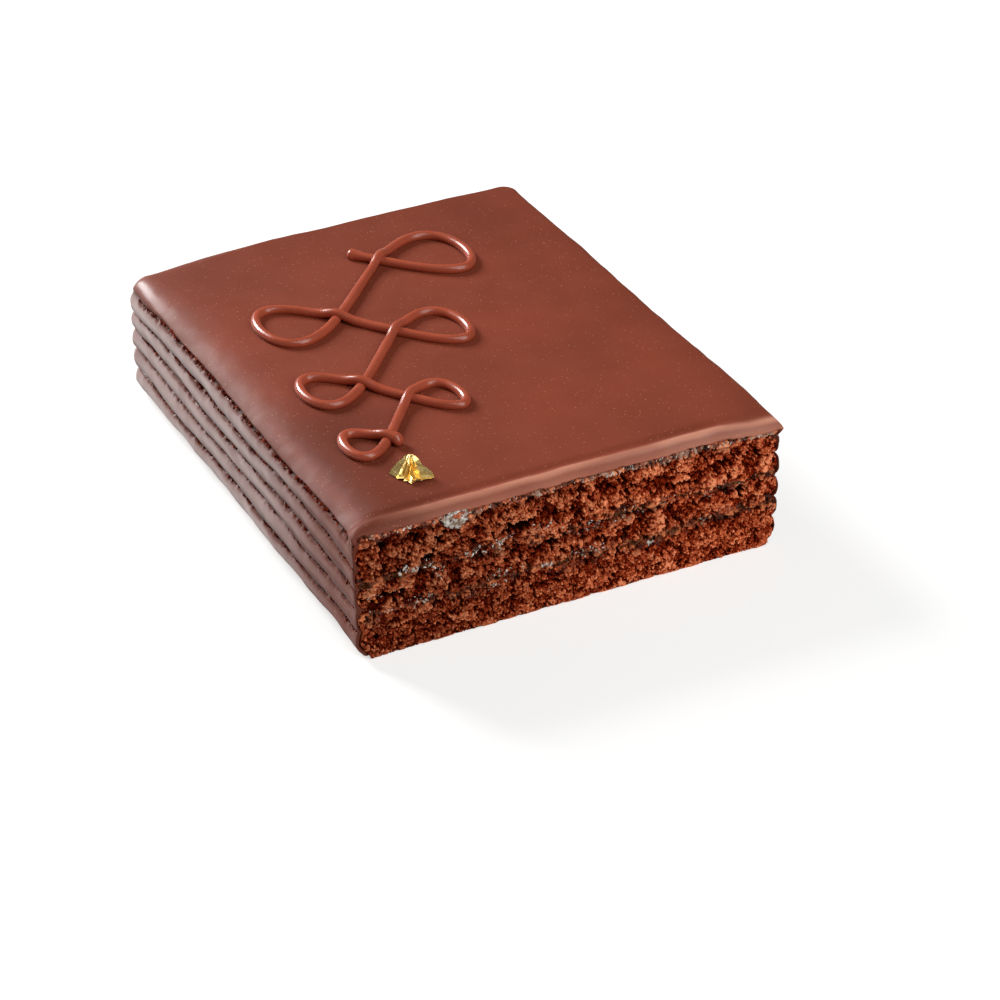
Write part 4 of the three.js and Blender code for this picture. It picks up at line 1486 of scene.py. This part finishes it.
def make_jelly(finish):
    """Jelly flecks along the jam lines, painted glints of wet jam, and one pocket of it under the glaze."""
    draw = np.random.default_rng(47)
    x = []
    z = []
    sizes = []
    for middle_x, middle_z, spread_x, spread_z, largest, count in JELLY_CLUSTERS:
        x.append(draw.normal(middle_x, spread_x, 2 * count))
        z.append(draw.normal(middle_z, spread_z, 2 * count))
        sizes.append(largest * lerp(0.2, 1.1, draw.random(2 * count) ** 2))
    turns = list(2 * math.pi * draw.random(sum(map(len, x))))
    # Upright flecks along the coat, painted glints of its wet jam
    x.append(lerp(-HALF_WIDTH + 5, HALF_WIDTH - 4, draw.random(COAT_FLECKS) ** 0.6))
    z.append(draw.normal(COAT_FLECK_LEVEL, 0.5, COAT_FLECKS))
    sizes.append(COAT_FLECK_SIZE * lerp(0.35, 1.2, draw.random(COAT_FLECKS) ** 2))
    turns += list(draw.normal(math.pi / 2, 0.35, COAT_FLECKS))
    x = np.clip(np.concatenate(x), -HALF_WIDTH + 4, HALF_WIDTH - 4)
    z = np.clip(np.concatenate(z), 1, 39.2)
    sizes = np.concatenate(sizes)
    depth = np.where(z > boundary(x, 5), coat_depth(x, z), np.minimum(sponge_depth(x, z), jam_depth(x, z)))
    centres = points(x, FRONT + depth + 0.1 * sizes, z)
    stretch = flattened(draw, len(x), 1.8, 0.5)
    make_piece("jelly_glint_flecks", grains(draw, centres, sizes, stretch, np.array(turns))[0], finish)

    angle = 2 * math.pi * draw.random(POCKET_BITS)
    reach = np.sqrt(draw.random(POCKET_BITS))
    x = POCKET[0] + POCKET_HALF[0] * reach * np.cos(angle)
    z = np.minimum(POCKET[1] + POCKET_HALF[1] * reach * np.sin(angle), 39.6)
    ragged = swell(x / 1.5, z / 1.2, 115, 2)
    centres = points(x, FRONT + leaned(x, z) + 0.35 + 0.12 * ragged, z)
    bits = lerp(0.35, 0.9, draw.random(POCKET_BITS))
    flat = flattened(draw, POCKET_BITS, 1.7, 0.6)
    sheet = grains(draw, centres, bits, flat, math.pi * draw.random(POCKET_BITS))[0]
    make_piece("jelly_pocket", sheet, finish)


def make_amber_bits(finish):
    """Lumps of clear jam that catch the light."""
    draw = np.random.default_rng(53)
    x, z, sizes = np.array(AMBER_BITS).T
    centres = points(x, FRONT + sponge_depth(x, z) + 0.2, z)
    make_piece("jam_bits", grains(draw, centres, sizes)[0], finish)


make_stage()
make_light()
crumb = sponge_finish()
make_layers(crumb)
make_glaze(glaze_finish())
make_piping(piping_finish())
make_leaf(gold_finish())
make_groove_crumbs(crumb)
make_foot_crumbs(crumb)
make_jelly(jelly_glint_finish())
make_amber_bits(amber_finish())
